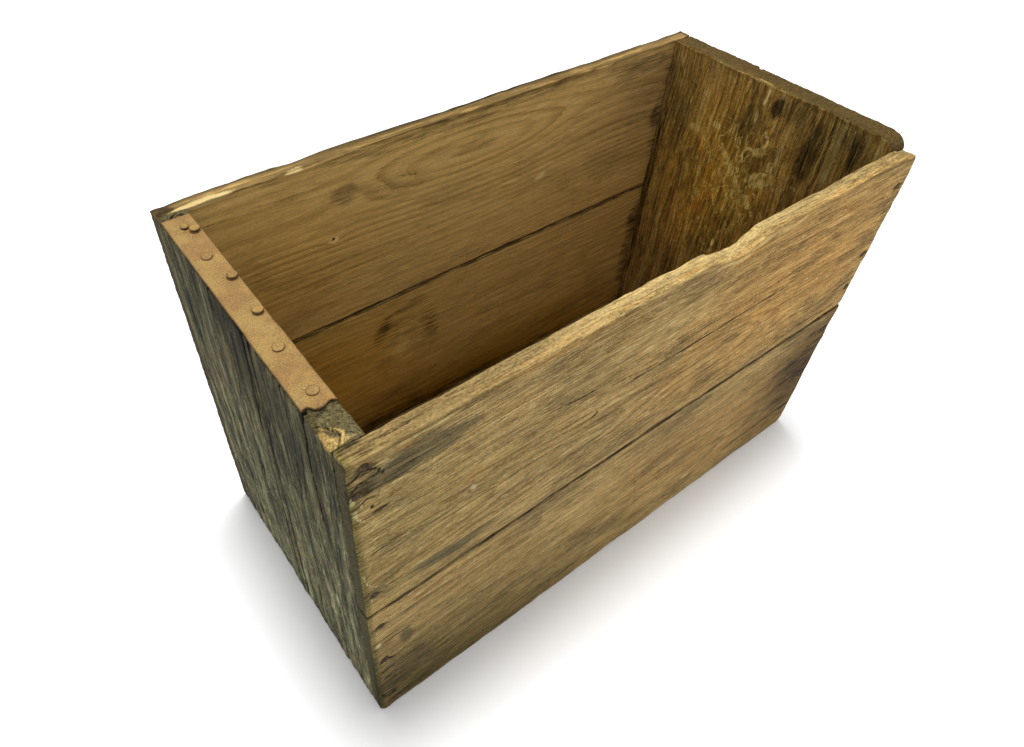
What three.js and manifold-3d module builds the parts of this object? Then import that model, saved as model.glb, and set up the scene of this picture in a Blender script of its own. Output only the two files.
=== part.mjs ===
// Wooden apple crate: four side planks nailed over three end boards, a floor of
// three boards let in between them, and an iron strap over the top of one end.
// Millimetres, +Z up. X runs along the crate, the origin is under its middle.

import * as THREE from 'three';
import { mergeVertices } from 'three/addons/utils/BufferGeometryUtils.js';
import Module from 'manifold-3d';

const wasm = await Module();
wasm.setup();

// ---------------------------------------------------------------- sizes
const crateLength = 510;
const crateWidth = 250;
const rimHeight = 336;

const plankThickness = 12;
const endThickness = 20;
const floorThickness = 12;

const fitGap = 0.3; // clearance where two pieces meet
const boardGap = 1.0; // open joint between two boards edge to edge
const frontJointHeight = 171; // joint between the two front planks
const backJointHeight = 178; // joint between the two back planks

const endJointTop = -14; // y of the joint between the left end's boards, at the rim
const endJointBottom = -5; // and at the ground

const rimChipStart = 15; // worn chip in the rim of the front, along x
const rimChipEnd = 66;
const rimChipDepth = 8;
const cornerChipLength = 17; // broken corner of the front's rim, at the right end
const cornerChipDepth = 5;
const wornCorner = 8; // radius of the rounded corners of the front planks

const proudRim = 5; // the right end stands this far above the side planks
const proudStart = -65; // from this y to its rounded front corner
const endCorner = 13; // radius of that corner

const strapThickness = 1.2;
const strapSeat = rimHeight - 0.5; // top of the left end, under the strap
const strapBack = 104; // cut end of the strap, y
const strapFront = -84; // torn end of the strap, y
const strapTear = 7; // the torn end runs askew by this much
const strapTearWave = 1.2; // and wanders by this much

const nailSides = 8;
const shankRadius = 1.3;
const headRadius = 3.2;
const headHeight = 1.2;
const headSunk = 0.2; // how far a flush head lies under the face

const sideNailLength = 42;
const floorNailLength = 44;
const strapNailLength = 30;
const shortNailLength = 18;

// ---------------------------------------------------------------- places worked out
const halfLength = crateLength / 2;
const halfWidth = crateWidth / 2;
const innerHalfLength = halfLength - endThickness;
const innerHalfWidth = halfWidth - plankThickness;
const endHalfWidth = innerHalfWidth - fitGap;
const floorHalfLength = innerHalfLength - fitGap;
const floorHalfWidth = innerHalfWidth - fitGap;
const nailLine = halfLength - endThickness / 2; // x of the nails into the end boards

const X = new THREE.Vector3(1, 0, 0);
const Y = new THREE.Vector3(0, 1, 0);
const Z = new THREE.Vector3(0, 0, 1);

// ---------------------------------------------------------------- finishes
const finishes = {
  sidePlank: { color: 0x94774a, roughness: 0.85, metalness: 0 },
  endBoard: { color: 0x6b6a58, roughness: 0.9, metalness: 0 },
  floorBoard: { color: 0x6e5630, roughness: 0.9, metalness: 0 },
  strapIron: { color: 0x9a7350, roughness: 0.8, metalness: 0.3 },
  nailIron: { color: 0x6a4a34, roughness: 0.75, metalness: 0.5 },
};

// ---------------------------------------------------------------- solids
// The closed solid of a geometry, for the boolean cuts.
function toSolid(geometry) {
  const bare = geometry.clone();
  bare.deleteAttribute('normal');
  bare.deleteAttribute('uv');
  const merged = mergeVertices(bare, 1e-4);
  const vertProperties = new Float32Array(merged.attributes.position.array);
  const triVerts = new Uint32Array(merged.index.array);
  return new wasm.Manifold(new wasm.Mesh({ numProp: 3, vertProperties, triVerts }));
}

function toGeometry(solid) {
  const mesh = solid.getMesh();
  const geometry = new THREE.BufferGeometry();
  geometry.setAttribute('position', new THREE.BufferAttribute(mesh.vertProperties, 3));
  geometry.setIndex(new THREE.BufferAttribute(mesh.triVerts, 1));
  const flat = geometry.toNonIndexed();
  flat.computeVertexNormals();
  return flat;
}

// A flat board: an outline in the plane of across and up, given its thickness
// along across x up, starting from the plane at the given distance.
function board(outline, across, up, start, thickness) {
  const geometry = new THREE.ExtrudeGeometry(outline, {
    depth: thickness,
    bevelEnabled: false,
    curveSegments: 4,
  });
  const through = new THREE.Vector3().crossVectors(across, up);
  const frame = new THREE.Matrix4().makeBasis(across, up, through);
  frame.setPosition(through.clone().multiplyScalar(start));
  return geometry.applyMatrix4(frame);
}

function rectangle(left, right, bottom, top) {
  const outline = new THREE.Shape();
  outline.moveTo(left, bottom);
  outline.lineTo(right, bottom);
  outline.lineTo(right, top);
  outline.lineTo(left, top);
  outline.closePath();
  return outline;
}

// A quarter turn, anticlockwise from the given number of half turns, that takes
// the outline round a worn corner.
function roundCorner(outline, x, y, radius, halfTurns) {
  const start = halfTurns * Math.PI;
  outline.absarc(x, y, radius, start, start + Math.PI / 2, false);
}

// ---------------------------------------------------------------- nails
// A nail stands at its seat, the point under the middle of its head, and points
// back along out, the direction that its head faces.
function nailGeometry(length, radius, height) {
  const pointLength = 4;
  const profile = [
    new THREE.Vector2(0, -length),
    new THREE.Vector2(shankRadius, pointLength - length),
    new THREE.Vector2(shankRadius, 0),
    new THREE.Vector2(radius, 0),
    new THREE.Vector2(radius * 0.9, height * 0.7),
    new THREE.Vector2(0, height),
  ];
  return new THREE.LatheGeometry(profile, nailSides);
}

// The room a nail needs in the wood: a shank hole and, for a flush head, a pocket.
function nailHole(nail) {
  const shank = shankRadius + fitGap;
  const pocket = nail.radius + fitGap;
  const bottom = -nail.length - fitGap;
  const top = nail.height + 1;
  const mouth = nail.flush ? [[shank, -fitGap], [pocket, -fitGap], [pocket, top]] : [[shank, top]];
  const profile = [[0, bottom], [shank, bottom], ...mouth, [0, top]];
  return new THREE.LatheGeometry(profile.map(([r, y]) => new THREE.Vector2(r, y)), nailSides);
}

function turnTowards(out) {
  return new THREE.Quaternion().setFromUnitVectors(Y, out);
}

const nails = [];

function addNail(name, seat, out, length, through, look = {}) {
  const { radius = headRadius, height = headHeight, flush = true } = look;
  nails.push({ name, seat, out, length, through, radius, height, flush });
}

// Nails through one end of a side plank, into the edge of an end board.
function nailPlankEnd(name, plank, endBoard, side, places) {
  places.forEach(([x, z], index) => {
    const seat = new THREE.Vector3(x, side * (halfWidth - headSunk - headHeight), z);
    const out = Y.clone().multiplyScalar(side);
    addNail(`${name}_nail_${index + 1}`, seat, out, sideNailLength, [plank, endBoard]);
  });
}

nailPlankEnd('front_upper_left', 'front_upper_plank', 'left_end_front_board', -1, [
  [-244, 328],
  [-249.5, 307],
  [-247, 195],
]);
nailPlankEnd('front_lower_left', 'front_lower_plank', 'left_end_front_board', -1, [
  [-246, 148],
  [-245.5, 93],
  [-246, 27],
]);
nailPlankEnd('front_upper_right', 'front_upper_plank', 'right_end_board', -1, [
  [nailLine, 306],
  [nailLine + 2, 236],
  [nailLine + 3, 197],
]);
nailPlankEnd('front_lower_right', 'front_lower_plank', 'right_end_board', -1, [
  [nailLine + 1, 146],
  [nailLine, 84],
  [nailLine - 1, 30],
]);
nailPlankEnd('back_upper_left', 'back_upper_plank', 'left_end_back_board', 1, [
  [-248.5, 304],
  [-246, 252],
  [-247, 200],
]);
nailPlankEnd('back_lower_left', 'back_lower_plank', 'left_end_back_board', 1, [
  [-246, 152],
  [-247, 92],
  [-245, 31],
]);
nailPlankEnd('back_upper_right', 'back_upper_plank', 'right_end_board', 1, [
  [nailLine, 315],
  [nailLine + 2, 259],
  [nailLine + 1, 203],
]);
nailPlankEnd('back_lower_right', 'back_lower_plank', 'right_end_board', 1, [
  [nailLine, 155],
  [nailLine + 1, 96],
  [nailLine, 33],
]);

// Nails through the end boards into the ends of the floor boards.
const floorBoardCount = 3;
const floorBoardWidth = (2 * floorHalfWidth - (floorBoardCount - 1) * boardGap) / floorBoardCount;
const floorBoardNames = ['floor_front_board', 'floor_middle_board', 'floor_back_board'];
const floorNailInset = 19; // from each edge of a floor board

function floorBoardStart(index) {
  return -floorHalfWidth + index * (floorBoardWidth + boardGap);
}

function endBoardAt(side, y) {
  if (side > 0) {
    return 'right_end_board';
  }
  return y < endJointBottom ? 'left_end_front_board' : 'left_end_back_board';
}

for (const [side, sideName] of [[-1, 'left'], [1, 'right']]) {
  floorBoardNames.forEach((floorBoard, index) => {
    const start = floorBoardStart(index);
    [start + floorNailInset, start + floorBoardWidth - floorNailInset].forEach((y, pair) => {
      const x = side * (halfLength - headSunk - headHeight);
      const seat = new THREE.Vector3(x, y, floorThickness / 2);
      const out = X.clone().multiplyScalar(side);
      const name = `${sideName}_floor_nail_${2 * index + pair + 1}`;
      addNail(name, seat, out, floorNailLength, [endBoardAt(side, y), floorBoard]);
    });
  });
}

// Nails down through the strap into the end grain of the left end.
const raisedHead = { radius: 3.5, height: 1.9, flush: false };
const flatHead = { radius: 3.6, height: 0.9, flush: false };
const smallHead = { radius: 2.6, height: 1.1, flush: false };

const strapNails = [
  { x: -244, y: 91.2, look: smallHead, length: shortNailLength },
  { x: -239.5, y: 85.4, look: raisedHead, length: strapNailLength },
  { x: -244.1, y: 56.6, look: flatHead, length: strapNailLength },
  { x: -239.2, y: 31.0, look: raisedHead, length: strapNailLength },
  { x: -239.9, y: -4.7, look: raisedHead, length: strapNailLength },
  { x: -243.4, y: -36.3, look: flatHead, length: strapNailLength },
  { x: -243.1, y: -74.2, look: flatHead, length: strapNailLength },
];
const strapBottom = strapSeat + fitGap;
const strapTop = strapBottom + strapThickness;

strapNails.forEach((nail, index) => {
  const endBoard = nail.y < endJointTop ? 'left_end_front_board' : 'left_end_back_board';
  const seat = new THREE.Vector3(nail.x, nail.y, strapTop + fitGap);
  addNail(`strap_nail_${index + 1}`, seat, Z, nail.length, ['top_strap', endBoard], nail.look);
});

// ---------------------------------------------------------------- outlines
function frontUpperOutline() {
  const bottom = frontJointHeight + boardGap / 2;
  const chipMiddle = rimChipStart + (rimChipEnd - rimChipStart) * 0.55;
  const outline = new THREE.Shape();
  outline.moveTo(-halfLength, bottom);
  outline.lineTo(halfLength - wornCorner, bottom);
  roundCorner(outline, halfLength - wornCorner, bottom + wornCorner, wornCorner, -0.5);
  outline.lineTo(halfLength, rimHeight - cornerChipDepth);
  outline.lineTo(halfLength - cornerChipLength, rimHeight);
  outline.lineTo(rimChipEnd, rimHeight);
  outline.lineTo(chipMiddle, rimHeight - rimChipDepth);
  outline.lineTo(rimChipStart, rimHeight);
  outline.lineTo(-halfLength, rimHeight);
  outline.closePath();
  return outline;
}

function frontLowerOutline() {
  const top = frontJointHeight - boardGap / 2;
  const outline = new THREE.Shape();
  outline.moveTo(halfLength - wornCorner, 0);
  roundCorner(outline, halfLength - wornCorner, wornCorner, wornCorner, -0.5);
  outline.lineTo(halfLength, top);
  outline.lineTo(-halfLength, top);
  roundCorner(outline, -halfLength + wornCorner, wornCorner, wornCorner, 1);
  outline.closePath();
  return outline;
}

function leftFrontOutline() {
  const outline = new THREE.Shape();
  outline.moveTo(-endHalfWidth, 0);
  outline.lineTo(endJointBottom - boardGap / 2, 0);
  outline.lineTo(endJointTop - boardGap / 2, strapSeat);
  outline.lineTo(-endHalfWidth, strapSeat);
  outline.closePath();
  return outline;
}

function leftBackOutline() {
  const outline = new THREE.Shape();
  outline.moveTo(endJointBottom + boardGap / 2, 0);
  outline.lineTo(endHalfWidth, 0);
  outline.lineTo(endHalfWidth, strapSeat);
  outline.lineTo(endJointTop + boardGap / 2, strapSeat);
  outline.closePath();
  return outline;
}

function rightEndOutline() {
  const top = rimHeight + proudRim;
  const cornerY = -endHalfWidth + endCorner;
  const outline = new THREE.Shape();
  outline.moveTo(-endHalfWidth, 0);
  outline.lineTo(endHalfWidth, 0);
  outline.lineTo(endHalfWidth, rimHeight);
  outline.lineTo(proudStart, top);
  roundCorner(outline, cornerY, top - endCorner, endCorner, 0.5);
  outline.closePath();
  return outline;
}

function strapOutline() {
  const tearSteps = 6;
  const left = -halfLength;
  const right = -innerHalfLength;
  const outline = new THREE.Shape();
  outline.moveTo(right, strapBack);
  outline.lineTo(left, strapBack);
  for (let step = 0; step <= tearSteps; step += 1) {
    const share = step / tearSteps;
    const slope = strapTear * (0.5 - share);
    const wave = strapTearWave * Math.sin(share * 3 * Math.PI);
    outline.lineTo(left + share * endThickness, strapFront + slope + wave);
  }
  outline.closePath();
  return outline;
}

// ---------------------------------------------------------------- boards
const boards = [];

function addBoard(name, geometry, finish) {
  boards.push({ name, geometry, finish });
}

// A side plank, the one side at -Y for the front and +Y for the back.
function addSidePlank(name, outline, side) {
  const start = side < 0 ? innerHalfWidth : -halfWidth;
  addBoard(name, board(outline, X, Z, start, plankThickness), finishes.sidePlank);
}

function addEndBoard(name, outline, side) {
  const start = side < 0 ? -halfLength : innerHalfLength;
  addBoard(name, board(outline, Y, Z, start, endThickness), finishes.endBoard);
}

const backUpper = rectangle(-halfLength, halfLength, backJointHeight + boardGap / 2, rimHeight);
const backLower = rectangle(-halfLength, halfLength, 0, backJointHeight - boardGap / 2);

addSidePlank('front_upper_plank', frontUpperOutline(), -1);
addSidePlank('front_lower_plank', frontLowerOutline(), -1);
addSidePlank('back_upper_plank', backUpper, 1);
addSidePlank('back_lower_plank', backLower, 1);

addEndBoard('left_end_front_board', leftFrontOutline(), -1);
addEndBoard('left_end_back_board', leftBackOutline(), -1);
addEndBoard('right_end_board', rightEndOutline(), 1);

floorBoardNames.forEach((name, index) => {
  const start = floorBoardStart(index);
  const outline = rectangle(-floorHalfLength, floorHalfLength, start, start + floorBoardWidth);
  addBoard(name, board(outline, X, Y, 0, floorThickness), finishes.floorBoard);
});

addBoard('top_strap', board(strapOutline(), X, Y, strapBottom, strapThickness), finishes.strapIron);

// ---------------------------------------------------------------- assembly
function drilled(name, geometry) {
  let solid = toSolid(geometry);
  for (const nail of nails.filter((one) => one.through.includes(name))) {
    const hole = nailHole(nail);
    hole.applyQuaternion(turnTowards(nail.out));
    hole.translate(nail.seat.x, nail.seat.y, nail.seat.z);
    solid = solid.subtract(toSolid(hole));
  }
  return toGeometry(solid);
}

function named(name, geometry, finish) {
  const mesh = new THREE.Mesh(geometry, new THREE.MeshStandardMaterial(finish));
  mesh.name = name;
  return mesh;
}

const crate = new THREE.Group();
crate.name = 'apple_crate';

for (const piece of boards) {
  crate.add(named(piece.name, drilled(piece.name, piece.geometry), piece.finish));
}

for (const nail of nails) {
  const geometry = nailGeometry(nail.length, nail.radius, nail.height);
  const mesh = named(nail.name, geometry, finishes.nailIron);
  mesh.quaternion.copy(turnTowards(nail.out));
  mesh.position.copy(nail.seat);
  crate.add(mesh);
}

export default crate;
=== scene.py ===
"""An old wooden apple crate: softwood boards, a rusty strap on one end, and driven nails.

Inside the classes every size and place is in millimetres, in the crate's own frame: x along the
crate, y through it, z up. A mesh is turned to metres as it is made.
"""
import itertools
import logging
import math
from dataclasses import dataclass, field
from enum import Enum

import bmesh
import bpy
import numpy as np
from mathutils import Matrix, Vector


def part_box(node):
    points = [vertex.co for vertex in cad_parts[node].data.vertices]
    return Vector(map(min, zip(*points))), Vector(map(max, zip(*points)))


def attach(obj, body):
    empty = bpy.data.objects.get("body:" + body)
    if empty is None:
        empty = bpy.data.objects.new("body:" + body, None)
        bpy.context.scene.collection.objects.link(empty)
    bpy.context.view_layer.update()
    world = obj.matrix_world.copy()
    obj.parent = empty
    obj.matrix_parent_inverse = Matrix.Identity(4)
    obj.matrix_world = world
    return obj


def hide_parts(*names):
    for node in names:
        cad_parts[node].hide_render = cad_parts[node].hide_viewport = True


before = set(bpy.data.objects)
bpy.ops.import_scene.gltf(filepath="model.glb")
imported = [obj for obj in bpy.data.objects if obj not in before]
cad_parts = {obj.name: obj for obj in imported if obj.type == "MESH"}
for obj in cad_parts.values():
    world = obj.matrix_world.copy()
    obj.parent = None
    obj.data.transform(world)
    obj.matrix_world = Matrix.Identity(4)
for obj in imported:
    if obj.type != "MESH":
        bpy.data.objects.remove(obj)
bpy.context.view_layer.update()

log = logging.getLogger("apple_crate")

MM = 0.001
FIRST_NAIL_SEED = 200


# ---------------------------------------------------------------------------------------------
# Words used for places, tones and colours
# ---------------------------------------------------------------------------------------------


class Side(Enum):
    """A face of a board, as the axis it faces along and the way it faces."""

    FRONT = (1, -1)
    BACK = (1, 1)
    LEFT = (0, -1)
    RIGHT = (0, 1)
    BOTTOM = (2, -1)
    TOP = (2, 1)

    @property
    def axis(self) -> int:
        """The axis that the face looks along."""
        return self.value[0]

    @property
    def way(self) -> int:
        """Minus one or one, the way along that axis."""
        return self.value[1]

    @property
    def plane(self) -> tuple[int, int]:
        """The two axes that lie in the face, in order."""
        return tuple(axis for axis in range(3) if axis != self.axis)


class Tone(Enum):
    """What a mark does to the wood, and which channel of which attribute carries it."""

    GREY = ("weather", 0)
    DARK = ("weather", 1)
    PALE = ("weather", 2)
    WARM = ("stain", 0)
    WHITE = ("stain", 1)
    FRESH = ("stain", 2)
    END = ("cut", 0)
    SPLIT = ("cut", 1)
    CALM = ("cut", 2)
    TIDE = ("damp", 0)


def paint(red: float, green: float, blue: float) -> tuple[float, float, float, float]:
    """A colour as a shader wants it.

    Args:
        red: Red as seen, 0 to 255.
        green: Green as seen, 0 to 255.
        blue: Blue as seen, 0 to 255.

    Returns:
        The linear colour with full opacity.
    """
    seen = np.array([red, green, blue]) / 255
    linear = np.where(seen <= 0.04045, seen / 12.92, ((seen + 0.055) / 1.055) ** 2.4)
    return (*linear.tolist(), 1.0)


def ease(values: np.ndarray, low: float, high: float) -> np.ndarray:
    """A soft step.

    Args:
        values: The values to step.
        low: Where the step starts.
        high: Where it ends.

    Returns:
        Zero up to low, one from high, and smooth between.
    """
    part = np.clip((values - low) / (high - low), 0, 1)
    return part * part * (3 - 2 * part)


class SmoothNoise:
    """Soft seeded noise between 0 and 1, read at points in space."""

    CELLS = 32

    def __init__(self, seed: int) -> None:
        """Fill the table that the noise is read from.

        Args:
            seed: Sets the whole pattern.
        """
        self.table = np.random.default_rng(seed).random((self.CELLS,) * 3)

    def layer(self, points: np.ndarray) -> np.ndarray:
        """One layer of noise, with features about one unit wide.

        Args:
            points: Rows of three numbers.

        Returns:
            One value for each row.
        """
        base = np.floor(points).astype(int)
        part = points - base
        part = part * part * (3 - 2 * part)
        total = np.zeros(len(points))
        for corner in itertools.product((0, 1), repeat=3):
            weight = np.where(corner, part, 1 - part).prod(axis=1)
            i, j, k = ((base + corner) % self.CELLS).T
            total += weight * self.table[i, j, k]
        return total

    def at(self, points: np.ndarray, size: tuple[float, float, float], layers: int = 1) -> np.ndarray:
        """Noise of a chosen size.

        Args:
            points: Rows of three numbers, in millimetres.
            size: How wide a feature is along each axis.
            layers: How many finer layers are laid over each other.

        Returns:
            One value for each row, about 0 to 1.
        """
        scaled = points / np.array(size)
        total = np.zeros(len(points))
        share = 0.0
        for step in range(layers):
            weight = 0.5**step
            total += weight * self.layer(scaled * 2.03**step + 5.31 * step)
            share += weight
        return total / share


# ---------------------------------------------------------------------------------------------
# What can be seen on a board
# ---------------------------------------------------------------------------------------------


@dataclass(frozen=True)
class Mark:
    """A soft patch of one tone on one face, at a place in that face's two axes."""

    tone: Tone
    side: Side
    at: tuple[float, float]
    reach: tuple[float, float]
    strength: float = 0.7
    lean: float = 0.0
    ragged: float = 0.35


@dataclass(frozen=True)
class Wash:
    """A broad thin tint on one face, by which the colour there is multiplied; some washes are painted shade.
    """

    side: Side
    at: tuple[float, float]
    reach: tuple[float, float]
    tint: tuple[float, float, float]


@dataclass(frozen=True)
class Scratch:
    """A thin line, or a spot where the path has one point, on one face of a board."""

    tone: Tone
    side: Side
    path: tuple[tuple[float, float], ...]
    width: float = 0.8
    strength: float = 0.8


@dataclass(frozen=True)
class Check:
    """A drying crack that is open enough to have walls."""

    side: Side
    path: tuple[tuple[float, float], ...]
    width: float = 1.6
    depth: float = 2.0


@dataclass(frozen=True)
class Trim:
    """How far a face stands in from, or out of, the board's box, along one axis."""

    side: Side
    axis: int
    stations: tuple[tuple[float, float], ...]
    reach: float = 24.0
    rough: float = 0.0


@dataclass(frozen=True)
class Pattern:
    """Noise that runs with the grain: the width of its features, where it starts and its layers."""

    size: tuple[float, float, float]
    shift: float
    layers: int = 2


@dataclass(frozen=True)
class Knot:
    """A place where the rings bend round a branch."""

    at: tuple[float, float]
    reach: tuple[float, float]
    push: float


@dataclass(frozen=True)
class Rings:
    """How a board lay in its tree, which sets the lines on every face of it."""

    pith: tuple[float, float]
    near: float
    spacing: float
    rise: float = 0.0
    length: float = 90.0
    taper: float = 0.0
    wander: float = 8.0
    wobble: float = 3.0
    start: float = 0.0
    knots: tuple[Knot, ...] = ()


def worn_corner(corner: float, radius: float, inward: int) -> tuple[tuple[float, float], ...]:
    """The stations of a trim that rounds off a corner.

    Args:
        corner: Where the sharp corner would be, along the trim's axis.
        radius: The radius of the worn corner.
        inward: One if the board lies towards higher numbers, else minus one.

    Returns:
        Stations from low to high along the axis.
    """
    shares = (0, 0.04, 0.12, 0.25, 0.42, 0.65, 1)
    made = [
        (corner + inward * radius * share, radius * (math.sqrt(1 - (1 - share) ** 2) - 1))
        for share in shares
    ]
    return tuple(made if inward > 0 else reversed(made))


def distance_to_path(places: np.ndarray, path: tuple[tuple[float, float], ...]) -> np.ndarray:
    """How far places in a face are from a line of straight stretches.

    Args:
        places: Rows of two numbers.
        path: The points that the line runs through.

    Returns:
        One distance for each row.
    """
    nearest = np.full(len(places), 1e9)
    for first, second in zip(path, path[1:] or path):
        start = np.array(first)
        run = np.array(second) - start
        share = np.clip((places - start) @ run / max(run @ run, 1e-9), 0, 1)
        gap = np.linalg.norm(places - start - share[:, None] * run, axis=1)
        nearest = np.minimum(nearest, gap)
    return nearest


# ---------------------------------------------------------------------------------------------
# Meshes
# ---------------------------------------------------------------------------------------------


def cut_lines(low: float, high: float, step: float) -> np.ndarray:
    """Where a board is cut into a grid along one axis: finely at its edges, evenly between.

    Args:
        low: Where the board starts.
        high: Where it ends.
        step: About how wide a cell is between the edges.

    Returns:
        The places of the cuts, in order.
    """
    margins = [edge for edge in (0, 0.45, 1.0, 1.7, 2.6, 3.8, 5.4) if edge < (high - low) * 0.42]
    inner = margins[-1] + min(step, 1.6)
    count = max(2, round((high - low - 2 * inner) / step) + 1)
    middle = np.linspace(low + inner, high - inner, count)
    if high - low - 2 * inner < 0.4:
        middle = np.array([(low + high) / 2])
    return np.concatenate([low + np.array(margins), middle, high - np.array(margins)[::-1]])


def grid_box(lines: list[np.ndarray]) -> tuple[np.ndarray, np.ndarray]:
    """The skin of a box that is cut into a grid.

    Args:
        lines: The cuts along x, y and z.

    Returns:
        The points, and the faces as rows of four point numbers, facing out.
    """
    shape = tuple(len(line) for line in lines)
    places = np.indices(shape).reshape(3, -1).T
    on_skin = ((places == 0) | (places == np.array(shape) - 1)).any(axis=1)
    number = np.full(len(places), -1)
    number[on_skin] = np.arange(on_skin.sum())
    number = number.reshape(shape)
    points = np.stack([lines[axis][places[on_skin, axis]] for axis in range(3)], axis=1)
    faces = []
    for axis, end in itertools.product(range(3), (0, -1)):
        sheet = np.take(number, end, axis=axis)
        quads = np.stack([sheet[:-1, :-1], sheet[1:, :-1], sheet[1:, 1:], sheet[:-1, 1:]], axis=-1)
        quads = quads.reshape(-1, 4)
        outward = (end == -1) != (axis == 1)
        faces.append(quads if outward else quads[:, ::-1])
    return points, np.concatenate(faces)


def soften(
    points: np.ndarray, low: np.ndarray, high: np.ndarray, radius: np.ndarray
) -> tuple[np.ndarray, np.ndarray, np.ndarray]:
    """Draw the points near a box's edges in onto rounded edges.

    Args:
        points: The points on the sharp box.
        low: The box's lowest corner.
        high: The box's highest corner.
        radius: How round the edge is near each point.

    Returns:
        The centre that each point is rounded about, the way it faces, and the radius there.
    """
    radius = np.minimum(radius, (high - low).min() * 0.45)[:, None]
    centre = np.clip(points, low + radius, high - radius)
    out = points - centre
    return centre, out / np.linalg.norm(out, axis=1, keepdims=True), radius


def mesh_piece(
    name: str,
    points: np.ndarray,
    faces: np.ndarray,
    attributes: dict[str, np.ndarray],
    material: bpy.types.Material,
    node: str,
) -> bpy.types.Object:
    """Make an object from points and faces, and tie it to its part of the frame.

    Args:
        name: The object's name.
        points: The points, in millimetres.
        faces: Rows of point numbers, all of one length.
        attributes: Values for each point, in one column or three.
        material: The finish.
        node: The node that the object stands for.

    Returns:
        The object.
    """
    mesh = bpy.data.meshes.new(name)
    corners = faces.shape[1]
    mesh.vertices.add(len(points))
    mesh.vertices.foreach_set("co", (points * MM).astype(np.float32).ravel())
    mesh.loops.add(faces.size)
    mesh.loops.foreach_set("vertex_index", faces.astype(np.int32).ravel())
    mesh.polygons.add(len(faces))
    mesh.polygons.foreach_set("loop_start", np.arange(0, faces.size, corners, dtype=np.int32))
    for title, values in attributes.items():
        kind, key = ("FLOAT_VECTOR", "vector") if values.ndim == 2 else ("FLOAT", "value")
        layer = mesh.attributes.new(title, kind, "POINT")
        layer.data.foreach_set(key, values.astype(np.float32).ravel())
    mesh.update(calc_edges=True)
    mesh.validate()
    mesh.shade_smooth()
    mesh.materials.append(material)
    made = bpy.data.objects.new(name, mesh)
    bpy.context.scene.collection.objects.link(made)
    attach(made, "root")
    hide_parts(node)
    return made


def node_box(node: str) -> tuple[np.ndarray, np.ndarray]:
    """The box of a node of the frame, in millimetres.

    Args:
        node: The node's name.

    Returns:
        Its lowest and highest corners.
    """
    low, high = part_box(node)
    return np.array(low) / MM, np.array(high) / MM


# ---------------------------------------------------------------------------------------------
# Shaders
# ---------------------------------------------------------------------------------------------


class Signal:
    """A number in a material that Python arithmetic can work on."""

    def __init__(self, tree: "ShaderTree", socket: bpy.types.NodeSocket) -> None:
        """Wrap a socket.

        Args:
            tree: The material that the socket is in.
            socket: The socket that gives the number.
        """
        self.tree = tree
        self.socket = socket

    def __add__(self, other: "Signal | float") -> "Signal":
        """The sum."""
        return self.tree.math("ADD", self, other)

    def __radd__(self, other: float) -> "Signal":
        """The sum, with the number first."""
        return self.tree.math("ADD", other, self)

    def __sub__(self, other: "Signal | float") -> "Signal":
        """The difference."""
        return self.tree.math("SUBTRACT", self, other)

    def __rsub__(self, other: float) -> "Signal":
        """The difference, with the number first."""
        return self.tree.math("SUBTRACT", other, self)

    def __mul__(self, other: "Signal | float") -> "Signal":
        """The product."""
        return self.tree.math("MULTIPLY", self, other)

    def __rmul__(self, other: float) -> "Signal":
        """The product, with the number first."""
        return self.tree.math("MULTIPLY", other, self)

    def floor(self) -> "Signal":
        """The whole number below."""
        return self.tree.math("FLOOR", self)

    def size(self) -> "Signal":
        """The number without its sign."""
        return self.tree.math("ABSOLUTE", self)

    def clamp(self) -> "Signal":
        """The number held between 0 and 1."""
        return self.ramp(0, 1, "LINEAR")

    def ramp(self, low: float, high: float, shape: str = "SMOOTHSTEP") -> "Signal":
        """A step from 0 at low to 1 at high.

        Args:
            low: Where the step starts.
            high: Where it ends.
            shape: How it runs between them.

        Returns:
            The stepped number.
        """
        settings = {"interpolation_type": shape}
        sockets = {"Value": self, "From Min": low, "From Max": high}
        return self.tree.signal("ShaderNodeMapRange", settings, sockets, "Result")


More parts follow.
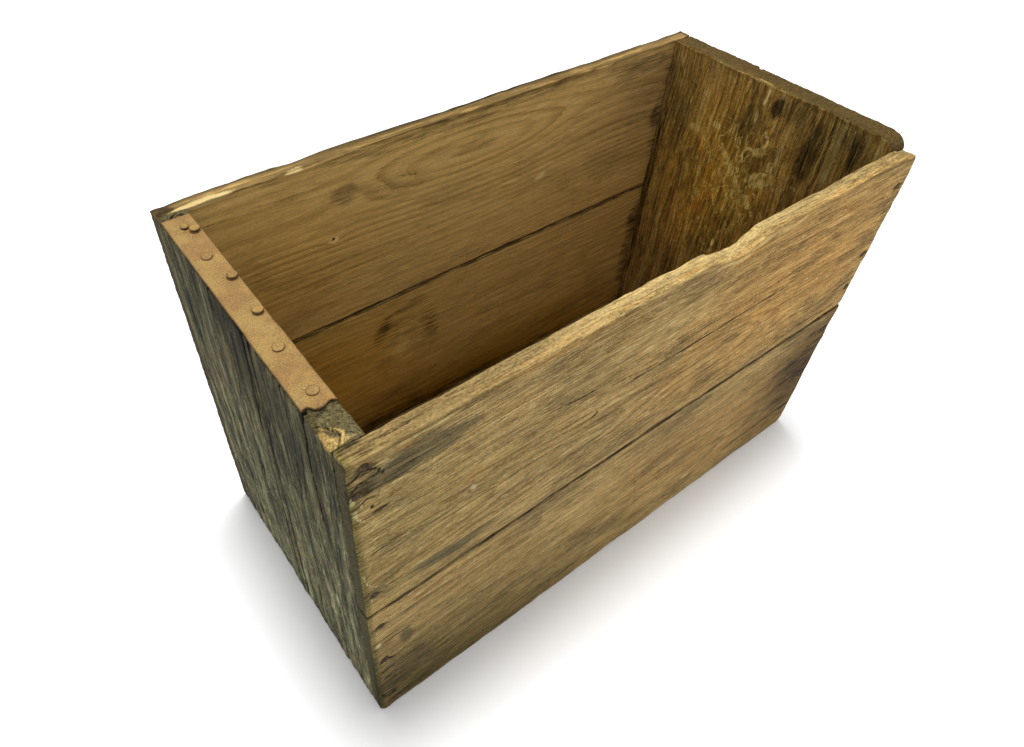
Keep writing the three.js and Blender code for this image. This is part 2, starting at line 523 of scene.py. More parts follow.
class ShaderTree:
    """A material's nodes, and the few calls that make and join them."""

    def __init__(self, name: str) -> None:
        """Start an empty material.

        Args:
            name: The material's name.
        """
        self.material = bpy.data.materials.new(name)
        self.material.use_nodes = True
        self.nodes = self.material.node_tree.nodes
        self.links = self.material.node_tree.links
        self.nodes.clear()

    def node(self, kind: str, settings: dict[str, object], sockets: dict[object, object]) -> bpy.types.Node:
        """Make one node.

        Args:
            kind: The node's type.
            settings: Its own settings, set first; "stops" holds a ramp's places and colours.
            sockets: A value or a link for each socket, by name or number.

        Returns:
            The node.
        """
        made = self.nodes.new(kind)
        for key, value in settings.items():
            if key == "stops":
                self.set_stops(made.color_ramp, value)
            else:
                setattr(made, key, value)
        for key, value in sockets.items():
            if isinstance(value, Signal):
                value = value.socket
            if isinstance(value, bpy.types.NodeSocket):
                self.links.new(value, made.inputs[key])
            else:
                made.inputs[key].default_value = value
        return made

    @staticmethod
    def set_stops(ramp: bpy.types.ColorRamp, stops: list[tuple[float, tuple]]) -> None:
        """Lay out a colour ramp.

        Args:
            ramp: The ramp, with its first two stops still in it.
            stops: The place and colour of each stop, from low to high.
        """
        while len(ramp.elements) < len(stops):
            ramp.elements.new(1.0)
        for element, (place, colour) in zip(ramp.elements, stops):
            element.position = place
            element.color = colour

    def signal(self, kind: str, settings: dict, sockets: dict, output: object) -> Signal:
        """Make one node and wrap the output that is wanted."""
        return Signal(self, self.node(kind, settings, sockets).outputs[output])

    def math(self, operation: str, *values: "Signal | float") -> Signal:
        """Add a Math node for one operation."""
        sockets = dict(enumerate(values))
        return self.signal("ShaderNodeMath", {"operation": operation}, sockets, 0)

    def attribute(self, name: str, output: str = "Vector") -> Signal:
        """Read an attribute that the mesh carries."""
        return self.signal("ShaderNodeAttribute", {"attribute_name": name}, {}, output)

    def split(self, vector: Signal) -> list[Signal]:
        """The three numbers in a vector."""
        made = self.node("ShaderNodeSeparateXYZ", {}, {0: vector})
        return [Signal(self, output) for output in made.outputs]

    def vector(self, operation: str, first: object, second: object) -> Signal:
        """Add a Vector Math node for one operation."""
        settings = {"operation": operation}
        return self.signal("ShaderNodeVectorMath", settings, {0: first, 1: second}, 0)

    def mix(self, factor: "Signal | float", base: object, over: object, blend: str = "MIX") -> Signal:
        """Lay one colour over another.

        Args:
            factor: How much of the second colour shows.
            base: The first colour.
            over: The second colour.
            blend: How they combine.

        Returns:
            The mixed colour.
        """
        settings = {"data_type": "RGBA", "blend_type": blend}
        return self.signal("ShaderNodeMix", settings, {0: factor, 6: base, 7: over}, 2)

    def noise(self, place: Signal, size: tuple[float, float, float], detail: float, shift: float) -> Signal:
        """Noise with features of a chosen size.

        Args:
            place: The place on the piece, in millimetres.
            size: How wide a feature is along each of the place's axes.
            detail: How many finer layers it has.
            shift: Moves the pattern, so that no two are alike.

        Returns:
            A number about a half.
        """
        scaled = self.vector("MULTIPLY", place, tuple(1 / width for width in size))
        moved = self.vector("ADD", scaled, (shift, 2.7 * shift, -1.9 * shift))
        sockets = {"Vector": moved, "Scale": 1.0, "Detail": detail, "Roughness": 0.55}
        return self.signal("ShaderNodeTexNoise", {}, sockets, 0)

    def finish(self, sockets: dict[str, object], height: Signal, depth: float) -> bpy.types.Material:
        """End the material in a surface with a bump.

        Args:
            sockets: What feeds the surface.
            height: The height of the fine relief.
            depth: How deep a height of one is, in metres.

        Returns:
            The material.
        """
        bump = self.node("ShaderNodeBump", {}, {"Height": height, "Distance": depth, "Strength": 1.0})
        surface = self.node("ShaderNodeBsdfPrincipled", {}, {**sockets, "Normal": bump.outputs[0]})
        self.node("ShaderNodeOutputMaterial", {}, {"Surface": surface.outputs[0]})
        return self.material


@dataclass(frozen=True)
class Wood:
    """Old softwood, in the colours of one board's wood and the strength of its figure."""

    early: tuple = paint(163, 137, 88)
    late: tuple = paint(104, 80, 44)
    pale: tuple = paint(190, 166, 114)
    grey: tuple = paint(92, 82, 58)
    dark: tuple = paint(46, 36, 20)
    warm: tuple = paint(166, 118, 58)
    white: tuple = paint(206, 188, 146)
    fresh: tuple = paint(174, 149, 98)
    end: tuple = paint(84, 76, 56)
    figure: float = 0.6
    fibre: float = 0.5
    mottle: float = 0.75
    specks: float = 0.5
    banding: float = 0.2
    dashes: float = 0.45
    low_shade: tuple = (0.45, 0.43, 0.38, 1.0)
    high_shade: tuple = (1.5, 1.52, 1.5, 1.0)
    coarse: float = 6.5
    depth: float = 0.00045

    def make(self, name: str, shift: float) -> bpy.types.Material:
        """Build the material of one board.

        Args:
            name: The material's name.
            shift: Moves every noise, so that no two boards are alike.

        Returns:
            The material.
        """
        tree = ShaderTree(name)
        flow = tree.attribute("flow")
        rings = tree.attribute("ring", "Fac")
        grey, dark, pale = tree.split(tree.attribute("weather"))
        warm, white, fresh = tree.split(tree.attribute("stain"))
        end, split, calm = tree.split(tree.attribute("cut"))
        tide = tree.split(tree.attribute("damp"))[0]

        hair = tree.noise(flow, (24, 1.0, 1.0), 3, shift)
        fibre = tree.noise(flow, (46, 2.1, 2.1), 4, shift + 3.1)
        streak = tree.noise(flow, (95, self.coarse, self.coarse), 4, shift + 6.7)
        cloud = tree.noise(flow, (60, 26, 26), 5, shift + 9.3)
        blotch = tree.noise(flow, (13, 6, 6), 5, shift + 12.9)
        grit = tree.noise(flow, (1.9, 1.2, 1.2), 4, shift + 17.3)
        dash = tree.noise(flow, (7, 1.5, 1.5), 3, shift + 21.9)

        phase = rings + (streak - 0.5) * 0.5 + (fibre - 0.5) * 0.28
        whole = phase.floor()
        part = phase - whole
        sockets = {"W": whole + shift}
        luck = tree.signal("ShaderNodeTexWhiteNoise", {"noise_dimensions": "1D"}, sockets, "Value")
        late = part.ramp(0.3, 0.86) * (1 - part.ramp(0.9, 1.0)) * (0.45 + 0.55 * luck)
        figure = late * (1 - 0.85 * calm) * (1 - 0.6 * end)

        colour = tree.mix((figure * self.figure).clamp(), self.early, self.late)
        colour = tree.mix(fibre.ramp(0.5, 0.74) * self.fibre * 0.6, colour, self.late)
        colour = tree.mix(streak.ramp(0.5, 0.72) * self.mottle * 0.55, colour, self.late)
        colour = tree.mix((1 - streak).ramp(0.52, 0.74) * self.mottle * 0.4, colour, self.pale)
        colour = tree.mix(cloud.ramp(0.48, 0.7) * self.mottle * 0.6, colour, self.grey)
        colour = tree.mix((1 - cloud).ramp(0.52, 0.74) * self.mottle * 0.25, colour, self.warm)
        colour = tree.mix(blotch.ramp(0.54, 0.7) * self.mottle * 0.5, colour, self.late)
        colour = tree.mix((1 - blotch).ramp(0.56, 0.72) * self.mottle * 0.45, colour, self.pale)

        band = streak * 0.45 + fibre * 0.55
        colour = tree.mix(band.ramp(0.5, 0.63) * self.banding, colour, self.dark)
        colour = tree.mix((1 - band).ramp(0.51, 0.64) * self.banding * 0.7, colour, self.pale)
        colour = tree.mix(dash.ramp(0.62, 0.7) * self.dashes, colour, self.dark)
        colour = tree.mix((1 - dash).ramp(0.61, 0.7) * self.dashes, colour, self.white)

        def broken(mask: Signal, *grains: Signal, soft: float = 0.4) -> Signal:
            """A mask that is broken up by noise wherever it is less than full."""
            noise = sum(grains[1:], grains[0]) * (2.4 / len(grains)) - 0.7
            return (mask * 1.3 - noise.clamp() * 0.85).ramp(0.0, soft)

        colour = tree.mix(broken(pale, fibre, blotch, grit) * 0.8, colour, self.pale)
        colour = tree.mix(broken(warm, fibre, blotch, cloud) * 0.75, colour, self.warm)
        colour = tree.mix(broken(grey, fibre, blotch, hair, soft=0.6) * 0.85, colour, self.grey)
        colour = tree.mix(broken(end, blotch, grit) * 0.9, colour, self.end)
        colour = tree.mix(broken(fresh, fibre, blotch, soft=0.5) * 0.8, colour, self.fresh)
        colour = tree.mix(broken(dark, fibre, blotch, hair, soft=0.6) * 0.88, colour, self.dark)
        colour = tree.mix(broken(white, blotch, grit) * 0.8, colour, self.white)
        swirl = tree.noise(flow, (26, 17, 17), 3, shift + 30.3) + (blotch - 0.5) * 0.35
        swirl = 1 - (swirl - 0.5).size().ramp(0.0, 0.035)
        colour = tree.mix(swirl * tide * (0.4 + grit), colour, self.pale)
        colour = tree.mix((blotch - 0.1).ramp(0.4, 0.56) * tide * 0.6, colour, self.grey)

        check = ((fibre * 0.5 + streak * 0.5) - 0.5).size()
        check = (1 - check.ramp(0.0, 0.012)) * cloud.ramp(0.48, 0.6) * (1 - end) * 0.7
        speck = grit.ramp(0.64, 0.74) * self.specks
        fleck = (1 - grit).ramp(0.66, 0.76) * self.specks
        colour = tree.mix(check * self.fibre, colour, self.dark)
        colour = tree.mix(speck * 0.7, colour, self.dark)
        colour = tree.mix(fleck * 0.45, colour, self.white)
        colour = tree.mix((split * 1.25 - grit * 0.5).ramp(0.0, 0.65), colour, self.dark)

        shade = (hair - 0.5) * 1.9 + (fibre - 0.5) * 1.5 + (grit - 0.5) * 1.6 + 0.5
        shade = tree.mix(shade.clamp(), self.low_shade, self.high_shade)
        colour = tree.mix(1.0, colour, shade, "MULTIPLY")
        # The washes multiply in last; some of them are painted shade, darker towards the floor.
        colour = tree.mix(1.0, colour, tree.attribute("wash"), "MULTIPLY")

        rough = 0.93 - 0.14 * figure - 0.1 * dark + 0.06 * (fibre - 0.5)
        relief = figure * (0.35 * self.figure) + fibre * 0.55 + hair * 0.35 + blotch * 0.5
        relief = relief + grit * (0.3 + 0.8 * end) - check * 0.9 - speck * 0.4 - split * 1.2
        shades = {"Base Color": colour, "Roughness": rough, "Specular IOR Level": 0.1}
        return tree.finish(shades, relief, self.depth)


@dataclass(frozen=True)
class Rust:
    """Old iron, rusted all over."""

    tan: tuple = paint(154, 126, 74)
    brown: tuple = paint(138, 106, 64)
    orange: tuple = paint(164, 122, 62)
    dark: tuple = paint(72, 56, 36)
    pale: tuple = paint(186, 162, 108)
    depth: float = 0.0003

    def make(self, name: str, shift: float) -> bpy.types.Material:
        """Build the material.

        Args:
            name: The material's name.
            shift: Moves every noise.

        Returns:
            The material.
        """
        tree = ShaderTree(name)
        place = tree.attribute("grain")
        worn = tree.attribute("worn", "Fac")
        cloud = tree.noise(place, (17, 17, 17), 5, shift)
        blotch = tree.noise(place, (5, 5, 5), 5, shift + 4.1)
        grit = tree.noise(place, (0.9, 0.9, 0.9), 4, shift + 8.7)
        colour = tree.mix(cloud.ramp(0.38, 0.62), self.tan, self.brown)
        colour = tree.mix(blotch.ramp(0.5, 0.7) * 0.5, colour, self.orange)
        colour = tree.mix((1 - blotch).ramp(0.52, 0.7) * 0.5, colour, self.brown)
        colour = tree.mix(grit.ramp(0.5, 0.68) * 0.5, colour, self.dark)
        colour = tree.mix((1 - grit).ramp(0.54, 0.72) * 0.45, colour, self.pale)
        colour = tree.mix((worn + (blotch - 0.5) * 0.6 * worn).clamp(), colour, self.dark)
        rough = 0.78 + 0.25 * (grit - 0.5) + 0.1 * worn
        relief = blotch * 0.9 + grit * 0.8 - worn * 0.4
        shades = {"Base Color": colour, "Roughness": rough, "Specular IOR Level": 0.15}
        return tree.finish(shades, relief, self.depth)


# ---------------------------------------------------------------------------------------------
# Boards
# ---------------------------------------------------------------------------------------------


@dataclass
class Board:
    """One board: its place, how its grain runs, and everything that has happened to it."""

    # How the edges are worn, in broad and in close patches.
    BROAD_WEAR = Pattern((26, 26, 26), 1.7)
    CLOSE_WEAR = Pattern((9, 5, 5), 4.3)
    # How the faces rise and fall.
    WARP = Pattern((120, 32, 32), 2.1)
    RAISED_GRAIN = Pattern((38, 6, 6), 3.3, 3)
    SAWN_END = Pattern((5, 2.4, 2.4), 5.9, 3)
    PITS = Pattern((17, 5, 5), 8.3)
    RAGGED_CUT = Pattern((7, 3.5, 3.5), 7.1, 3)
    # How a worn rim is grooved, how deep the wear goes and how strong it is.
    RIM_GROOVES = Pattern((40, 2.8, 2.8), 15.1)
    RIM_DEPTH = Pattern((14, 6, 6), 2.9)
    RIM_WEAR = Pattern((22, 5, 5), 12.3)
    # How the rings wander along the board.
    RING_DRIFT = Pattern((170, 400, 400), 0.9, 1)
    RING_WOBBLE = Pattern((75, 22, 22), 6.1)
    # How marks are bent, and how the fibres sway, in the face's two directions.
    BEND = (Pattern((24, 9, 9), 10.1, 3), Pattern((24, 9, 9), 13.8, 3))
    SWAY = (Pattern((110, 34, 34), 19.3), Pattern((110, 34, 34), 23.4))
    FLUTTER = (Pattern((28, 12, 12), 23.9), Pattern((28, 12, 12), 28.0))

    name: str
    axes: tuple[int, int, int]
    rings: Rings
    wood: Wood
    slot: str
    seed: int
    cells: tuple[float, float, float] = (3.0, 1.35, 1.4)
    edge: float = 0.8
    chewed: float = 2.4
    relief: float = 0.3
    wave: float = 5.0
    marks: list[Mark] = field(default_factory=list)
    washes: list[Wash] = field(default_factory=list)
    scratches: list[Scratch] = field(default_factory=list)
    checks: list[Check] = field(default_factory=list)
    trims: list[Trim] = field(default_factory=list)
    nails: list[str] = field(default_factory=list)
    rims: tuple[Side, ...] = ()

    def __post_init__(self) -> None:
        """Look up the board's box, and seed its noise."""
        self.low, self.high = node_box(self.name)
        self.noise = SmoothNoise(self.seed)

    def along_grain(self, points: np.ndarray) -> np.ndarray:
        """Points with their axes in the grain's order.

        Args:
            points: Rows of x, y and z.

        Returns:
            Rows of the distance along, across and through the grain.
        """
        return points[:, self.axes]

    def grained(self, points: np.ndarray, pattern: Pattern) -> np.ndarray:
        """Noise that runs with the grain.

        Args:
            points: Rows of x, y and z.
            pattern: The noise's size along, across and through the grain, its start and its layers.

        Returns:
            One value for each point.
        """
        size = np.array(pattern.size)
        return self.noise.at(self.along_grain(points) + pattern.shift * size, pattern.size, pattern.layers)

    def depth_under(self, points: np.ndarray, side: Side) -> np.ndarray:
        """How far under one face of the board's box each point lies."""
        face = self.high if side.way > 0 else self.low
        return np.abs(points[:, side.axis] - face[side.axis])

    def edge_radius(self, points: np.ndarray) -> np.ndarray:
        """How far the board's edges are worn round at each point.

        Args:
            points: Rows of x, y and z.

        Returns:
            One radius for each point.
        """
        slow = self.grained(points, self.BROAD_WEAR)
        quick = self.grained(points, self.CLOSE_WEAR)
        return self.edge + self.chewed * ease(slow, 0.45, 0.85) + 0.55 * self.chewed * ease(quick, 0.6, 0.9)

    def height(self, points: np.ndarray, facing: np.ndarray) -> np.ndarray:
        """How far the surface stands out of, or in from, the board's plain faces.

        Args:
            points: Rows of x, y and z.
            facing: The way that each point faces.

        Returns:
            One height for each point.
        """
        end_face = np.abs(facing[:, self.axes[0]])
        made = self.relief * (self.grained(points, self.WARP) - 0.5) * 1.3
        made += self.relief * (self.grained(points, self.RAISED_GRAIN) - 0.5) * 0.9
        ring = self.ring_number(points)
        made += self.relief * 0.16 * np.sin(2 * np.pi * ring) * (1 - end_face)
        made += end_face * 0.9 * (self.grained(points, self.SAWN_END) - 0.6)
        made -= self.relief * ease(self.grained(points, self.PITS), 0.66, 0.86) * (1 - end_face)
        for rim in self.rims:
            grooves = ease(self.grained(points, self.RIM_GROOVES), 0.5, 0.78)
            made -= 0.7 * grooves * (self.depth_under(points, rim) < 3)
        for check in self.checks:
            gap = distance_to_path(self.face_places(points, check.side), check.path)
            under = self.depth_under(points, check.side)
            made -= check.depth * (1 - ease(gap, 0.15 * check.width, check.width)) * (under < 3)
        for nail in self.nails:
            low, high = node_box(nail)
            middle = (low + high) / 2
            side = Side.TOP if nail.startswith("strap") else nail_side(nail)
            gap = np.hypot(*(self.face_places(points, side) - middle[list(side.plane)]).T)
            made -= 0.75 * (1 - ease(gap, 3.2, 5.4)) * (self.depth_under(points, side) < 3)
        return made

    def face_places(self, points: np.ndarray, side: Side) -> np.ndarray:
        """The two numbers that place each point in a face."""
        return points[:, list(side.plane)]

    def trimmed(self, points: np.ndarray) -> np.ndarray:
        """Move the outline in or out where the board is cut, chipped or rounded.

        Args:
            points: Rows of x, y and z.

        Returns:
            The moved points.
        """
        moved = points.copy()
        for trim in self.trims:
            places, shifts = zip(*trim.stations)
            shift = np.interp(points[:, trim.axis], places, shifts)
            if trim.rough:
                shift += trim.rough * (self.grained(points, self.RAGGED_CUT) - 0.5) * (shift != 0)
            fade = np.clip(1 - self.depth_under(points, trim.side) / trim.reach, 0, 1)
            moved[:, trim.side.axis] += trim.side.way * shift * fade
        return moved

    def ring_number(self, points: np.ndarray) -> np.ndarray:
        """Which ring of the tree each point lies in.

        Args:
            points: Rows of x, y and z.

        Returns:
            The ring's number, with the part of the way through it.
        """
        rings = self.rings
        along, across, through = self.along_grain(points).T
        run = along - rings.near
        way = np.sign(rings.pith[1] - (self.low + self.high)[self.axes[2]] / 2)
        drift = rings.wander * (self.grained(points, self.RING_DRIFT) - 0.5) * 2
        rise = rings.rise * (1 - np.exp(-((run / rings.length) ** 2)))
        depth = rings.pith[1] + way * (rings.taper * run + rise)
        radius = np.hypot(across - rings.pith[0] - drift, through - depth)
        radius += rings.wobble * (self.grained(points, self.RING_WOBBLE) - 0.5) * 2
        for knot in rings.knots:
            away = ((along - knot.at[0]) / knot.reach[0]) ** 2 + ((across - knot.at[1]) / knot.reach[1]) ** 2
            radius += knot.push * np.exp(-away)
        return radius / rings.spacing + rings.start

    def tones(self, points: np.ndarray, shaped: np.ndarray, facing: np.ndarray) -> dict[str, np.ndarray]:
        """What each point carries for the finish.

        Args:
            points: The points on the plain box.
            shaped: The points in their final places.
            facing: The way that each point faces.

        Returns:
            The attributes and their values.
        """
        made = {name: np.zeros((len(points), 3)) for name in ("weather", "stain", "cut", "damp")}

        def lay(tone: Tone, amount: np.ndarray) -> None:
            """Lay more of a tone over what is there."""
            name, column = tone.value
            made[name][:, column] = 1 - (1 - made[name][:, column]) * (1 - np.clip(amount, 0, 1))

        bend = np.stack([self.grained(points, pattern) - 0.5 for pattern in self.BEND], 1)
        for mark in self.marks:
            near = 1 - ease(self.depth_under(points, mark.side), 1.2, 4.5)
            away = self.face_places(points, mark.side) - np.array(mark.at)
            turn = math.radians(mark.lean)
            spin = np.array([[math.cos(turn), -math.sin(turn)], [math.sin(turn), math.cos(turn)]])
            away = away @ spin / np.array(mark.reach) + bend * 2 * mark.ragged
            lay(mark.tone, mark.strength * near * (1 - ease(np.hypot(*away.T), 0.35, 1.25)))
        for scratch in self.scratches:
            near = 1 - ease(self.depth_under(points, scratch.side), 1.0, 2.6)
            gap = distance_to_path(self.face_places(points, scratch.side) + bend * 3, scratch.path)
            line = 1 - ease(gap, 0.35 * scratch.width, 0.35 * scratch.width + 0.75)
            tone = Tone.SPLIT if scratch.tone is Tone.DARK else scratch.tone
            lay(tone, scratch.strength * near * line)
        made["wash"] = np.ones((len(points), 3))
        for wash in self.washes:
            near = 1 - ease(self.depth_under(points, wash.side), 2.0, 6.0)
            away = (self.face_places(points, wash.side) - np.array(wash.at)) / np.array(wash.reach)
            share = near * (1 - ease(np.hypot(*(away + bend * 0.3).T), 0.1, 1.3))
            made["wash"] *= 1 - share[:, None] * (1 - np.array(wash.tint))
        edge_zone = (1 - (facing**2).max(axis=1)) * (1 - made["weather"][:, 1])
        chewed = ease(self.edge_radius(points), self.edge + 0.35 * self.chewed, self.edge + self.chewed)
        lay(Tone.FRESH, ease(edge_zone, 0.1, 0.5) * chewed * 0.25)
        lay(Tone.GREY, ease(edge_zone, 0.1, 0.5) * (1 - chewed) * 0.35)
        end_face = ease(np.abs(facing[:, self.axes[0]]), 0.45, 0.9)
        lay(Tone.END, end_face)
        for rim in self.rims:
            rim_depth = 2.6 + 3 * self.grained(points, self.RIM_DEPTH).mean()
            near = 1 - ease(self.depth_under(points, rim), 0.8, rim_depth)
            lay(Tone.FRESH, near * (0.35 + 0.6 * self.grained(points, self.RIM_WEAR)))
        for check in self.checks:
            gap = distance_to_path(self.face_places(points, check.side), check.path)
            near = self.depth_under(points, check.side) < 3
            lay(Tone.SPLIT, (1 - ease(gap, 0.3 * check.width, 1.2 * check.width)) * near)
        for nail in self.nails:
            if nail.startswith("strap"):
                continue
            low, high = node_box(nail)
            side = nail_side(nail)
            away = self.face_places(points, side) - ((low + high) / 2)[list(side.plane)]
            near = 1 - ease(self.depth_under(points, side), 1.5, 5)
            away[:, 0 if self.axes[0] == side.plane[0] else 1] /= 2.2
            lay(Tone.DARK, 0.62 * near * (1 - ease(np.hypot(*away.T) + bend[:, 0] * 5, 1.6, 6.0)))
        sway = [self.grained(shaped, pattern) - 0.5 for pattern in self.SWAY]
        flutter = [self.grained(shaped, pattern) - 0.5 for pattern in self.FLUTTER]
        made["flow"] = self.along_grain(shaped).copy()
        made["flow"][:, 1:] += 2 * self.wave * np.stack(sway, 1) + 0.4 * self.wave * np.stack(flutter, 1)
        made["ring"] = self.ring_number(shaped)
        return made

    def build(self) -> bpy.types.Object:
        """Make the board's mesh, with its finish.

        Returns:
            The board.
        """
        order = np.argsort(self.axes)
        cells = np.array(self.cells)[order]
        lines = [cut_lines(self.low[axis], self.high[axis], cells[axis]) for axis in range(3)]
        points, faces = grid_box(lines)
        radius = self.edge_radius(points)
        centre, facing, radius = soften(points, self.low, self.high, radius)
        shaped = self.trimmed(centre + facing * (radius + self.height(points, facing)[:, None]))
        shaped[:, 2] = shaped[:, 2].clip(min=0)
        material = self.wood.make(f"{self.name}_wood", self.seed * 1.37)
        attributes = self.tones(points, shaped, facing)
        name = f"{self.name}_seen"
        return mesh_piece(name, shaped, faces, attributes, material, self.name)


def nail_side(nail: str) -> Side:
    """The face that a nail was driven into.

    Args:
        nail: The nail's node.

    Returns:
        The face that its head shows on.
    """
    if nail.startswith("strap"):
        return Side.TOP
    return Side[nail.split("_")[0].upper()]


def nails_of(*starts: str) -> list[str]:
    """The nodes of the nails whose names start in one of these ways."""
    return sorted(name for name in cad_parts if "_nail_" in name and name.startswith(starts))


def marks_of(tone: Tone, side: Side, *rows: tuple) -> list[Mark]:
    """Marks of one tone on one face, each from the rest of its fields."""
    return [Mark(tone, side, *row) for row in rows]


def scratches_of(tone: Tone, side: Side, *rows: tuple) -> list[Scratch]:
    """Scratches of one tone on one face, each from the rest of its fields."""
    return [Scratch(tone, side, *row) for row in rows]


ALONG_X = (0, 2, 1)
ALONG_Z = (2, 1, 0)
FLAT_X = (0, 1, 2)

FRONT, BACK, LEFT, RIGHT, BOTTOM, TOP = Side


